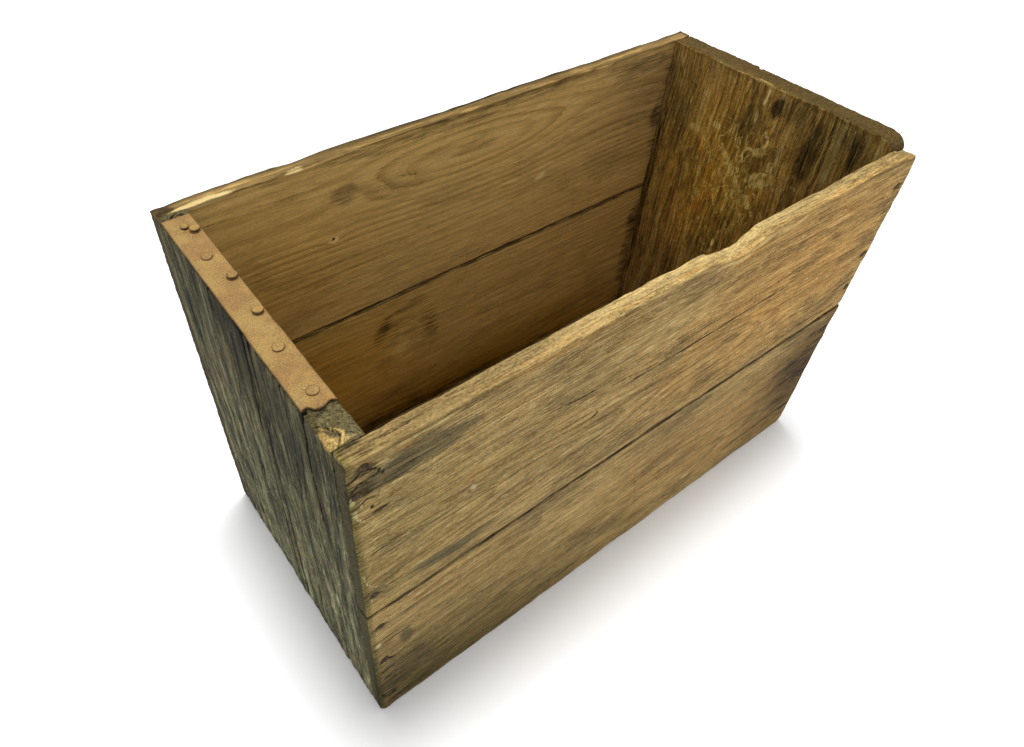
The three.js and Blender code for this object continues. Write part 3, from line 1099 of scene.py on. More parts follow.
class Crate:
    """The boards of the crate, each with its own history."""

    SIDE_WOOD = Wood()
    # Painted light: the inner wood is coloured much brighter than the outer wood, to stand in for light
    # reaching the inside of the box.
    INNER_WOOD = Wood(
        early=paint(226, 188, 116),
        late=paint(156, 120, 64),
        pale=paint(230, 196, 128),
        grey=paint(126, 104, 66),
        dark=paint(58, 46, 26),
        warm=paint(206, 150, 70),
        fresh=paint(140, 116, 74),
        white=paint(250, 226, 160),
        figure=0.62,
        fibre=0.2,
        mottle=0.4,
        specks=0.5,
        banding=0.06,
        dashes=0.12,
        low_shade=(0.8, 0.78, 0.72, 1.0),
        high_shade=(1.18, 1.19, 1.2, 1.0),
        depth=0.00018,
    )
    END_WOOD = Wood(
        early=paint(94, 91, 64),
        late=paint(44, 43, 28),
        pale=paint(146, 142, 108),
        grey=paint(54, 56, 42),
        dark=paint(20, 20, 13),
        warm=paint(120, 96, 62),
        fresh=paint(184, 154, 96),
        end=paint(90, 80, 52),
        figure=0.8,
        fibre=0.9,
        mottle=1.0,
        banding=0.9,
        dashes=0.35,
        coarse=9.0,
        low_shade=(0.3, 0.3, 0.27, 1.0),
        high_shade=(1.75, 1.75, 1.7, 1.0),
        depth=0.0007,
    )
    RIGHT_WOOD = Wood(
        early=paint(166, 132, 70),
        late=paint(82, 62, 32),
        pale=paint(186, 168, 120),
        grey=paint(84, 78, 50),
        dark=paint(26, 22, 12),
        warm=paint(166, 122, 54),
        end=paint(84, 72, 44),
        figure=0.7,
        mottle=0.9,
        specks=0.7,
        banding=0.5,
        coarse=8.0,
        low_shade=(0.4, 0.37, 0.3, 1.0),
        high_shade=(1.6, 1.6, 1.5, 1.0),
    )
    END_WASHES = [
        Wash(LEFT, (0, 345), (160, 150), (0.5, 0.46, 0.4)),
        Wash(LEFT, (0, 20), (150, 130), (1.2, 1.24, 1.34)),
    ]
    FLOOR_WOOD = Wood(early=paint(110, 86, 46), late=paint(70, 52, 28), figure=0.5, mottle=0.8, specks=0.8)

    def front_upper(self) -> Board:
        """The upper plank of the front side."""
        return Board(
            "front_upper_plank", ALONG_X,
            Rings(
                (226, -78), 0, 2.5, taper=0.05,
                knots=(Knot((-150, 249), (15, 5), 5), Knot((12, 288), (11, 8), 6)),
            ),
            self.SIDE_WOOD, "side_plank_wood", 11, rims=(TOP,), cells=(2.0, 1.0, 1.2),
            nails=nails_of("front_upper"),
            trims=[
                Trim(
                    TOP, 0,
                    (
                        (-255, -0.5), (13, 0), (17, -3), (24, -4.2), (31, -5.5), (43, -8), (50, -7),
                        (56, -3.5), (61, -3), (67, 0), (180, 0), (238, -1), (242, -3.4), (255, -5),
                    ),
                    34, 1.4,
                ),
                Trim(
                    BOTTOM, 0, ((-255, -0.4), (-100, -1.6), (0, -2.8), (140, -2.4), (255, -1.8)),
                    60,
                ),
                Trim(
                    RIGHT, 2,
                    (*worn_corner(171.5, 8, 1), (280, 0), (287, -2), (294, 0), (318, 0), (336, -3)),
                    26, 1.2,
                ),
                Trim(LEFT, 2, ((171, 0), (300, 0), (330, -0.6), (336, -1.4)), 20, 0.8),
            ],
            marks=[
                *marks_of(
                    Tone.GREY, FRONT, ((-214, 315), (52, 15), 0.8), ((190, 296), (65, 34), 0.4),
                    ((-15, 232), (30, 13), 0.42), ((60, 240), (38, 9), 0.35),
                    ((-188, 191), (62, 10), 0.85), ((-70, 196), (60, 6), 0.3),
                    ((-205, 240), (30, 4), 0.55), ((-240, 260), (16, 60), 0.25),
                    ((243, 240), (14, 60), 0.35),
                ),
                *marks_of(
                    Tone.DARK, FRONT, ((-246, 314), (14, 26), 0.42), ((-238, 286), (7, 2), 0.7),
                    ((-236, 300), (26, 30), 0.22), ((-205, 309), (34, 5), 0.35),
                    ((-90, 275), (14, 1.6), 0.6), ((122, 306), (8, 19), 0.5),
                    ((176, 286), (15, 3.4), 0.65), ((-120, 235), (50, 1.5), 0.4),
                    ((205, 181), (45, 2.4), 0.5),
                ),
                *marks_of(
                    Tone.PALE, FRONT, ((-236, 324), (10, 2.4), 0.85), ((-228, 302), (12, 1.8), 0.7),
                    ((-205, 331), (26, 2.6), 0.7), ((-240, 272), (5, 1.6), 0.8),
                    ((-60, 296), (120, 34), 0.34), ((30, 300), (85, 26), 0.3),
                    ((150, 210), (70, 16), 0.42), ((-120, 222), (90, 14), 0.35),
                    ((168, 305), (25, 4), 0.6), ((225, 215), (30, 22), 0.2),
                    ((60, 331), (90, 4), 0.6),
                ),
                *marks_of(
                    Tone.WARM, FRONT, ((-233, 312), (6, 2.6), 0.8), ((-214, 326), (8, 2.4), 0.7),
                    ((-244, 330), (5, 4), 0.8), ((-175, 262), (17, 9), 0.4),
                    ((90, 248), (16, 8), 0.45), ((-90, 333), (130, 2.2), 0.55),
                    ((60, 326), (34, 2), 0.6),
                ),
                *marks_of(
                    Tone.WHITE, FRONT, ((-252, 292), (2.4, 6), 0.7),
                    ((-252.5, 305), (2.4, 5), 0.75), ((-175, 250), (3.5, 6), 0.6, 20),
                ),
                Mark(Tone.DARK, TOP, (-243, -118), (16, 9), 0.55),
                *marks_of(
                    Tone.WARM, TOP, ((-90, -122), (150, 2.4), 0.7), ((170, -122), (70, 2.2), 0.6),
                ),
                *marks_of(
                    Tone.GREY, TOP, ((215, -119), (40, 8), 0.35), ((-190, -118), (60, 7), 0.55),
                ),
                Mark(Tone.PALE, TOP, (20, -116), (150, 5), 0.7),
                Mark(Tone.GREY, BACK, (0, 250), (260, 90), 0.25),
                *marks_of(
                    Tone.DARK, BACK, ((-220, 250), (18, 90), 0.4), ((222, 250), (18, 90), 0.4),
                    ((0, 176), (260, 8), 0.3),
                ),
                Mark(Tone.DARK, LEFT, (-119, 240), (8, 110), 0.3),
                Mark(Tone.GREY, LEFT, (-119, 250), (8, 100), 0.6),
                Mark(Tone.GREY, RIGHT, (-119, 250), (8, 100), 0.5),
                Mark(Tone.DARK, BOTTOM, (0, -119), (900, 40), 0.66),
            ],
            washes=[
                Wash(FRONT, (-250, 250), (110, 110), (0.94, 0.97, 0.94)),
                Wash(LEFT, (-119, 250), (40, 300), (0.55, 0.6, 0.5)),
                Wash(FRONT, (150, 260), (180, 120), (1.32, 1.12, 0.9)),
                Wash(TOP, (-190, -119), (110, 30), (0.66, 0.64, 0.62)),
                Wash(TOP, (230, -119), (60, 30), (0.8, 0.78, 0.74)),
            ],
            scratches=[
                *scratches_of(
                    Tone.DARK, FRONT, (((-40, 260.5), (30, 259.5), (128, 259.5)), 1.3, 0.75),
                    (((-62, 268), (-18, 263)), 1.1, 0.6),
                    (((-104, 278), (-92, 276), (-78, 274.5)), 1.2, 0.75),
                    (((-75, 245), (-72, 247.5)), 2.4, 0.9), (((-244.5, 308),), 2.4, 1.0),
                    (((-242, 292),), 2.2, 1.0),
                    (((-254, 322), (-246, 326), (-238, 323), (-233, 316)), 1.3, 0.9),
                    (((-252, 314), (-247, 318), (-242, 315)), 1.0, 0.85),
                    (((-250, 298), (-244, 301), (-238, 298)), 1.1, 0.85),
                    (((-234, 309), (-226, 311), (-214, 312)), 0.9, 0.55),
                    (((-239, 286), (-230, 288), (-222, 288)), 0.9, 0.5),
                    (((-247, 244), (-241, 246), (-236, 246)), 1.0, 0.7),
                    (((-252, 222), (-240, 223)), 1.0, 0.6),
                    (((-60, 236), (-20, 238), (20, 236)), 1.0, 0.5),
                    (((150, 182), (190, 184), (235, 182)), 1.6, 0.6),
                    (((60, 226), (110, 228), (160, 226)), 1.0, 0.5),
                    (((-200, 235), (-120, 236), (-60, 233)), 1.2, 0.6),
                ),
                *scratches_of(
                    Tone.PALE, FRONT, (((-236, 320), (-228, 322), (-220, 323)), 1.4, 0.8),
                    (((-240, 304), (-232, 306)), 1.2, 0.7), (((-222, 316), (-204, 319)), 1.0, 0.6),
                    (((-250, 268), (-243, 269)), 1.0, 0.8), (((-246, 258), (-241, 259)), 0.9, 0.7),
                    (((-249, 250), (-240, 251)), 0.9, 0.7), (((180, 268), (187, 254)), 1.2, 0.4),
                ),
                *scratches_of(
                    Tone.WHITE, FRONT, (((-247, 303), (-248, 296)), 1.4, 0.8),
                    (((-251, 286), (-249, 283)), 1.6, 0.8),
                    (((-253, 226), (-251, 214), (-247, 206), (-247, 196), (-250, 190)), 0.7, 0.7),
                    (((-247, 206), (-240, 203), (-236, 198), (-237, 191)), 0.6, 0.6),
                    (((-238, 244), (-241, 226), (-246, 214)), 0.5, 0.5),
                    (((186, 272), (192, 262), (195, 246)), 1.0, 0.35), (((249, 236.5),), 3.0, 0.8),
                    (((250, 197),), 3.0, 0.8),
                ),
                *scratches_of(
                    Tone.WARM, FRONT, (((-234, 301), (-230, 302)), 1.6, 0.8),
                    (((-226, 327), (-216, 329)), 1.4, 0.8), (((-209, 322), (-202, 323)), 1.8, 0.7),
                ),
                *scratches_of(
                    Tone.DARK, TOP, (((-236, -118), (-222, -119), (-212, -118.5)), 1.1, 0.6),
                    (((-190, -116), (-178, -117)), 0.8, 0.5),
                    (((-125, -121), (-112, -120.5)), 0.8, 0.4),
                    (((-30, -117), (-18, -118)), 0.8, 0.35), (((80, -120), (112, -119)), 0.8, 0.4),
                    (((160, -116), (190, -117)), 0.8, 0.4),
                ),
            ],
        )

    def front_lower(self) -> Board:
        """The lower plank of the front side."""
        return Board(
            "front_lower_plank", ALONG_X, Rings((52, -70), 60, 2.6, taper=0.06, wander=12),
            self.SIDE_WOOD, "side_plank_wood", 23, cells=(2.3, 1.1, 1.3),
            nails=nails_of("front_lower"),
            trims=[
                Trim(TOP, 0, ((-255, 0.1), (-100, 1.3), (0, 2.5), (140, 2.1), (255, 1.5)), 60),
                Trim(LEFT, 2, worn_corner(0, 8, 1), 26, 1.0),
                Trim(
                    RIGHT, 2,
                    (
                        *worn_corner(0, 9, 1), (60, 0), (75, -1), (90, 0), (130, 0), (150, -0.8),
                        (166, 0),
                    ),
                    26, 1.4,
                ),
                Trim(
                    BOTTOM, 0, ((-255, 0), (-120, 0), (-80, -0.8), (40, 0), (120, -1), (255, 0)),
                    40, 0.8,
                ),
            ],
            marks=[
                *marks_of(
                    Tone.DARK, FRONT, ((232, 100), (34, 52), 0.5), ((185, 33), (95, 4.5), 0.6),
                    ((195, 116), (28, 6), 0.62), ((108, 108), (16, 2), 0.65),
                    ((182, 100), (18, 3), 0.6), ((-246, 60), (7, 5), 0.55),
                    ((-238, 22), (16, 9), 0.4), ((-205, 148), (20, 2), 0.45),
                    ((215, 150), (40, 3), 0.4), ((0, 6), (260, 6), 0.25),
                ),
                *marks_of(
                    Tone.GREY, FRONT, ((225, 90), (50, 70), 0.55), ((150, 112), (60, 14), 0.35),
                    ((-227, 111), (6, 13), 0.85), ((-210, 40), (90, 50), 0.45),
                    ((-235, 90), (40, 60), 0.35), ((-215, 147), (28, 5), 0.55),
                    ((-40, 95), (110, 14), 0.3),
                ),
                *marks_of(
                    Tone.WHITE, FRONT, ((-250, 122), (4, 6), 0.6), ((232, 164), (12, 3), 0.6),
                ),
                *marks_of(
                    Tone.PALE, FRONT, ((90, 35), (7, 3.5), 0.9), ((60, 45), (130, 26), 0.16),
                    ((160, 162), (40, 3), 0.5), ((-80, 155), (70, 7), 0.35),
                ),
                Mark(Tone.CALM, FRONT, (-40, 60), (200, 45), 0.7),
                Mark(Tone.GREY, BACK, (0, 90), (260, 90), 0.3),
                *marks_of(
                    Tone.DARK, BACK, ((0, 20), (260, 26), 0.5), ((-222, 90), (18, 90), 0.4),
                    ((222, 90), (18, 90), 0.4),
                ),
                Mark(Tone.GREY, LEFT, (-119, 90), (8, 100), 0.6),
                Mark(Tone.DARK, RIGHT, (-119, 80), (8, 80), 0.5),
                Mark(Tone.DARK, TOP, (0, -119), (900, 40), 0.66),
            ],
            washes=[
                # Painted shade: these two washes darken the lower front plank, on its left part towards the
                # floor and on its right part.
                Wash(FRONT, (-210, 10), (220, 120), (0.36, 0.38, 0.34)),
                Wash(FRONT, (250, 90), (95, 115), (0.34, 0.29, 0.22)),
                Wash(LEFT, (-119, 90), (40, 300), (0.55, 0.6, 0.5)),
                Wash(FRONT, (100, 90), (170, 70), (0.95, 0.88, 0.82)),
            ],
            scratches=[
                Scratch(Tone.WARM, FRONT, ((-6, 134), (-3, 120), (2, 108)), 1.7, 0.85),
                *scratches_of(
                    Tone.DARK, FRONT, (((2, 108), (9, 78), (20, 40)), 0.9, 0.5),
                    (((32, 99), (44, 70), (52, 55), (58, 43)), 1.2, 0.5),
                    (((35, 80), (40, 72)), 1.8, 0.6),
                    (((-247, 120), (-236, 122), (-224, 121)), 1.2, 0.7),
                    (((-250, 74), (-240, 75)), 1.6, 0.75), (((-251, 52), (-238, 54)), 1.4, 0.7),
                    (((-248, 12), (-230, 15)), 1.4, 0.7),
                    (((170, 150), (200, 151), (240, 149)), 1.4, 0.6),
                    (((182, 132), (220, 130)), 1.2, 0.6), (((196, 92), (240, 90)), 1.6, 0.7),
                    (((180, 70), (232, 68)), 1.3, 0.6), (((-250, 92), (-238, 90)), 2.6, 0.8),
                    (((-252, 32), (-240, 25)), 3.2, 0.75),
                ),
                *scratches_of(
                    Tone.PALE, FRONT, (((-252, 100), (-240, 102)), 1.0, 0.7),
                    (((60, 164), (140, 162), (235, 160)), 1.3, 0.55),
                ),
                *scratches_of(
                    Tone.WHITE, FRONT, (((-249, 82), (-243, 86)), 0.9, 0.6),
                    (((-82, 146), (-78, 133)), 0.9, 0.35),
                ),
            ],
        )

    def back_upper(self) -> Board:
        """The upper plank of the back side, with the long pointed figure on its inner face."""
        return Board(
            "back_upper_plank", ALONG_X,
            Rings(
                (302, 103), 5, 5.4, rise=15, length=92, start=0.82, wobble=1.6, wander=3,
                knots=(
                    Knot((-134, 264), (9, 5), -4), Knot((-110, 298), (30, 12), 6),
                    Knot((150, 285), (80, 22), 7),
                ),
            ),
            self.INNER_WOOD, "side_plank_wood", 37, rims=(TOP,), wave=2.0,
            nails=nails_of("back_upper"),
            trims=[
                Trim(
                    TOP, 0,
                    (
                        (-255, -2.4), (-238, -1.2), (-200, 0), (-160, -0.6), (-140, 0), (120, 0),
                        (150, -0.7), (255, 0),
                    ),
                    30, 1.2,
                ),
                Trim(BOTTOM, 0, ((-255, 0.6), (0, 0), (255, 0.6)), 50),
            ],
            marks=[
                *marks_of(
                    Tone.GREY, FRONT, ((0, 330), (260, 9), 0.55), ((-120, 300), (17, 15), 0.6),
                    ((5, 302), (62, 11), 0.42), ((195, 320), (60, 14), 0.6),
                ),
                *marks_of(
                    Tone.DARK, FRONT, ((60, 333), (200, 4), 0.4), ((235, 260), (15, 90), 0.5),
                    ((225, 262), (14, 12), 0.4), ((-60, 300), (12, 2.4), 0.4),
                ),
                Mark(Tone.WARM, FRONT, (-190, 225), (80, 44), 0.3),
                *marks_of(
                    Tone.PALE, FRONT, ((-134, 264), (5.5, 4), 0.95),
                    ((81, 244), (8, 5.5), 1.0, 20, 0.6),
                ),
                Mark(Tone.CALM, FRONT, (0, 208), (260, 44), 0.9),
                *marks_of(
                    Tone.WHITE, FRONT, ((-218, 335), (20, 2.5), 0.8), ((-157, 335), (9, 2.5), 0.7),
                ),
                Mark(Tone.WARM, TOP, (95, 115), (16, 4), 0.7),
                Mark(Tone.WHITE, TOP, (-226, 115), (22, 3.5), 0.9),
                Mark(Tone.GREY, TOP, (0, 121), (260, 5), 0.6),
                *marks_of(Tone.DARK, TOP, ((0, 124), (260, 2), 0.5), ((-247, 118), (9, 9), 0.7)),
                Mark(Tone.GREY, BACK, (0, 260), (260, 90), 0.5),
                *marks_of(
                    Tone.DARK, BACK, ((-240, 260), (22, 90), 0.4), ((240, 260), (22, 90), 0.4),
                    ((40, 330), (160, 8), 0.4),
                ),
                Mark(Tone.PALE, BACK, (-60, 230), (90, 20), 0.3),
                Mark(Tone.GREY, LEFT, (119, 250), (8, 100), 0.7),
                Mark(Tone.GREY, RIGHT, (119, 250), (8, 100), 0.6),
                Mark(Tone.DARK, BOTTOM, (0, 119), (900, 40), 0.7),
            ],
            washes=[
                Wash(FRONT, (-200, 240), (110, 90), (1.06, 0.97, 0.8)),
                Wash(TOP, (0, 119), (400, 40), (0.5, 0.48, 0.44)),
                Wash(BACK, (0, 170), (900, 900), (0.4, 0.43, 0.5)),
                Wash(RIGHT, (119, 250), (400, 400), (0.4, 0.4, 0.38)),
                Wash(LEFT, (119, 250), (400, 400), (0.45, 0.46, 0.42)),
                Wash(FRONT, (210, 290), (90, 80), (0.76, 0.75, 0.8)),
            ],
            scratches=[
                *scratches_of(
                    Tone.DARK, FRONT, (((-234, 315), (-190, 314.5), (-150, 315.5)), 0.9, 0.5),
                    (((-134.5, 265),), 2.4, 0.9), (((-127, 204),), 2.2, 0.6),
                    (((-138, 187),), 2.6, 0.5), (((-70, 300), (-55, 296)), 2.4, 0.5),
                ),
                *scratches_of(
                    Tone.WHITE, FRONT, (((-135, 264), (-133, 264)), 6.5, 0.95),
                    (((78, 243), (84, 246)), 5.5, 0.9), (((-151, 243),), 2.6, 0.7),
                    (((-1, 286), (1.5, 282)), 1.6, 0.6),
                ),
                Scratch(Tone.PALE, FRONT, ((-123, 188), (-118, 182)), 1.5, 0.6),
            ],
        )

    def back_lower(self) -> Board:
        """The lower plank of the back side."""
        return Board(
            "back_lower_plank", ALONG_X, Rings((70, 175), 0, 4.5, taper=0.03, wander=10),
            self.INNER_WOOD, "side_plank_wood", 41, wave=2.0, nails=nails_of("back_lower"),
            trims=[
                Trim(TOP, 0, ((-255, -0.5), (0, 0.1), (255, -0.5)), 50),
                Trim(LEFT, 2, worn_corner(0, 6, 1), 26, 1.0),
                Trim(RIGHT, 2, worn_corner(0, 5, 1), 26, 1.0),
            ],
            marks=[
                *marks_of(
                    Tone.DARK, FRONT, ((-70, 130), (44, 40), 0.42, -28),
                    ((-98, 140), (9, 20), 0.42, -30), ((-62, 160), (30, 8), 0.45),
                    ((-40, 122), (14, 28), 0.3), ((-120, 36), (170, 34), 0.36),
                    ((0, 12), (260, 18), 0.5), ((235, 100), (20, 100), 0.6),
                    ((55, 84), (18, 8), 0.35), ((145, 50), (16, 4), 0.4),
                ),
                *marks_of(
                    Tone.PALE, FRONT, ((-74, 118), (22, 30), 1.0, -28, 0.7),
                    ((82, 94), (7, 5), 0.5, 0, 0.6), ((0, 150), (60, 14), 0.25),
                ),
                *marks_of(
                    Tone.WHITE, FRONT, ((-76, 112), (12, 18), 0.5, -28, 0.9),
                    ((232, 240), (3, 4), 0.5),
                ),
                Mark(Tone.WARM, FRONT, (-190, 130), (70, 50), 0.4),
                Mark(Tone.GREY, FRONT, (120, 110), (140, 50), 0.36),
                Mark(Tone.CALM, FRONT, (0, 90), (260, 110), 0.85),
                Mark(Tone.GREY, BACK, (0, 90), (260, 100), 0.5),
                *marks_of(
                    Tone.DARK, BACK, ((0, 8), (260, 12), 0.5), ((-240, 90), (22, 90), 0.4),
                    ((240, 90), (22, 90), 0.4),
                ),
                Mark(Tone.GREY, LEFT, (119, 90), (8, 100), 0.7),
                Mark(Tone.GREY, RIGHT, (119, 90), (8, 100), 0.6),
                Mark(Tone.DARK, TOP, (0, 119), (900, 40), 0.7),
            ],
            washes=[
                Wash(FRONT, (-180, 110), (140, 90), (1.05, 0.92, 0.5)),
                # Painted shade: darker and warmer towards the floor inside the box.
                Wash(FRONT, (0, 10), (330, 70), (0.5, 0.42, 0.15)),
                Wash(BACK, (0, 170), (900, 900), (0.38, 0.41, 0.47)),
                Wash(RIGHT, (119, 90), (400, 400), (0.4, 0.4, 0.38)),
                Wash(LEFT, (119, 90), (400, 400), (0.45, 0.46, 0.42)),
            ],
            scratches=[Scratch(Tone.PALE, FRONT, ((26, 168), (28, 152)), 2.6, 0.35)],
        )

    def left_front_end(self) -> Board:
        """The front board of the left end."""
        return Board(
            "left_end_front_board", ALONG_Z,
            Rings((-58, -214), 235, 5.2, rise=9, length=80, taper=0.03, wander=20, wobble=6),
            self.END_WOOD, "end_board_wood", 53, relief=0.9, wave=7.0, cells=(3.0, 1.1, 1.3),
            nails=nails_of(
                "front_upper_left", "front_lower_left", "left_floor_nail_1", "left_floor_nail_2",
                "left_floor_nail_3",
            ),
            trims=[
                Trim(
                    BOTTOM, 1, ((-112, -1), (-80, 0), (-60, -1.5), (-40, 0), (-20, -2), (-5, 0)),
                    30, 3.0,
                ),
                Trim(BACK, 2, ((0, 0), (150, -2.6), (335, -8.6)), 60),
                Trim(LEFT, 2, worn_corner(0, 6, 1), 18, 0.8),
            ],
            checks=[
                Check(LEFT, ((-84, 336), (-82, 290), (-85, 236)), 1.6, 1.6),
                Check(LEFT, ((-40, 0), (-38, 40), (-41, 84)), 1.7, 2),
            ],
            marks=[
                Mark(Tone.GREY, LEFT, (-60, 300), (60, 44), 0.55),
                *marks_of(
                    Tone.PALE, LEFT, ((-79, 119), (2.2, 11), 0.95), ((-60, 90), (50, 60), 0.3),
                ),
                *marks_of(
                    Tone.DARK, LEFT, ((-40, 10), (22, 14), 0.6), ((-30, 40), (14, 30), 0.4),
                    ((-20, 75), (8, 26), 0.4), ((-110, 160), (4, 170), 0.5),
                    ((-8, 200), (4, 60), 0.45), ((-88, 310), (5, 30), 0.4),
                ),
                Mark(Tone.GREY, RIGHT, (-60, 170), (60, 170), 0.2),
                Mark(Tone.WARM, RIGHT, (-60, 170), (60, 170), 0.6),
                *marks_of(
                    Tone.DARK, RIGHT, ((-108, 170), (8, 170), 0.5), ((-60, 20), (60, 30), 0.6),
                ),
                *marks_of(
                    Tone.PALE, TOP, ((-245, -90), (12, 6), 0.4), ((-252, -97), (4, 7), 0.6),
                    ((-240, -104), (6, 9), 0.8), ((-248, -94), (6, 4), 0.8),
                ),
                *marks_of(
                    Tone.FRESH, TOP, ((-247, -109), (10, 4), 0.7), ((-253, -106), (4, 9), 0.7),
                ),
                Mark(Tone.DARK, TOP, (-245, -88), (12, 3), 0.5),
            ],
            washes=self.END_WASHES,
            scratches=[
                *scratches_of(
                    Tone.DARK, LEFT, (((-15.2, 335), (-9.2, 150), (-6.6, 0)), 2.2, 1.0),
                    (((-60, 335), (-64, 290), (-58, 250), (-52, 215), (-58, 190)), 2.6, 0.6),
                    (((-72, 300), (-70, 262), (-62, 232), (-54, 246), (-50, 280)), 2.2, 0.6),
                    (((-30, 330), (-34, 270), (-28, 200), (-34, 130)), 2.0, 0.5),
                    (((-96, 330), (-100, 250), (-94, 180), (-98, 90)), 1.8, 0.5),
                ),
                *scratches_of(
                    Tone.PALE, LEFT, (((-46, 320), (-44, 270), (-48, 220)), 2.4, 0.35),
                    (((-84, 200), (-80, 150), (-84, 90)), 2.6, 0.35),
                ),
                *scratches_of(
                    Tone.DARK, TOP,
                    (
                        ((-253, -95), (-249, -99), (-245, -104), (-247, -109), (-250, -113)), 1.0,
                        0.62,
                    ),
                    (((-249, -99), (-241, -100), (-237, -104)), 0.8, 0.45),
                    (((-247, -90), (-249, -99)), 0.8, 0.45),
                ),
                *scratches_of(
                    Tone.FRESH, TOP,
                    (((-252, -96), (-247.5, -100), (-243, -104), (-245.5, -110)), 1.1, 0.85),
                    (((-254, -110), (-250, -106)), 1.6, 0.8),
                ),
            ],
        )

    def left_back_end(self) -> Board:
        """The back board of the left end."""
        return Board(
            "left_end_back_board", ALONG_Z,
            Rings((44, -205), 90, 5.6, rise=9, length=80, taper=0.03, wander=20, wobble=6),
            self.END_WOOD, "end_board_wood", 61, relief=0.9, wave=7.0, cells=(3.0, 1.1, 1.3),
            nails=nails_of(
                "back_upper_left", "back_lower_left", "left_floor_nail_4", "left_floor_nail_5",
                "left_floor_nail_6",
            ),
            trims=[
                Trim(BOTTOM, 1, ((-5, 0), (10, -2.4), (30, 0), (50, -2.6), (112, 0)), 30, 3.0),
                Trim(FRONT, 2, ((0, -8.2), (150, -6), (335, 0)), 60),
                Trim(LEFT, 2, worn_corner(0, 5, 1), 18, 0.8),
            ],
            checks=[
                Check(LEFT, ((31, 336), (31, 318)), 1.8, 2),
                Check(LEFT, ((68, 190), (66, 120), (69, 40)), 1.5, 1.6),
            ],
            marks=[
                *marks_of(
                    Tone.DARK, LEFT, ((92, 140), (9, 30), 0.75, -12), ((80, 106), (14, 8), 0.8, 12),
                    ((31, 110), (4, 8), 0.8), ((21, 111), (2.5, 6), 0.6), ((3, 88), (5, 16), 0.5),
                    ((25, 78), (8, 16), 0.45), ((84, 270), (20, 40), 0.3),
                    ((-8, 200), (4, 60), 0.4),
                ),
                Mark(Tone.WARM, LEFT, (60, 200), (50, 120), 0.35),
                *marks_of(
                    Tone.PALE, LEFT, ((30, 130), (50, 60), 0.25), ((112, 180), (4, 160), 0.25),
                ),
                Mark(Tone.GREY, LEFT, (20, 310), (50, 30), 0.3),
                Mark(Tone.WARM, RIGHT, (50, 170), (70, 170), 0.6),
                *marks_of(Tone.DARK, RIGHT, ((108, 170), (8, 170), 0.5), ((50, 20), (70, 30), 0.6)),
                Mark(Tone.GREY, TOP, (-245, 108), (12, 7), 0.8),
                Mark(Tone.DARK, TOP, (-254, -8), (5, 8), 0.9),
            ],
            washes=self.END_WASHES,
            scratches=[
                *scratches_of(
                    Tone.DARK, LEFT, (((-12.6, 335), (-6.6, 150), (-4.0, 0)), 2.2, 1.0),
                    (((20, 332), (16, 290), (24, 240), (18, 190), (22, 140)), 2.6, 0.6),
                    (((44, 334), (48, 280), (40, 230), (46, 170)), 2.2, 0.55),
                    (((76, 330), (70, 290), (78, 250), (72, 220)), 3.2, 0.6),
                    (((100, 330), (96, 270), (102, 200)), 2.0, 0.5),
                ),
                *scratches_of(
                    Tone.PALE, LEFT, (((32, 300), (36, 250), (30, 200)), 2.4, 0.35),
                    (((60, 260), (58, 200), (62, 150)), 2.6, 0.35),
                ),
                Scratch(
                    Tone.DARK, TOP,
                    ((-251, 104), (-245, 108), (-239, 106), (-244, 102), (-249, 106)), 1.1, 0.8,
                ),
            ],
        )

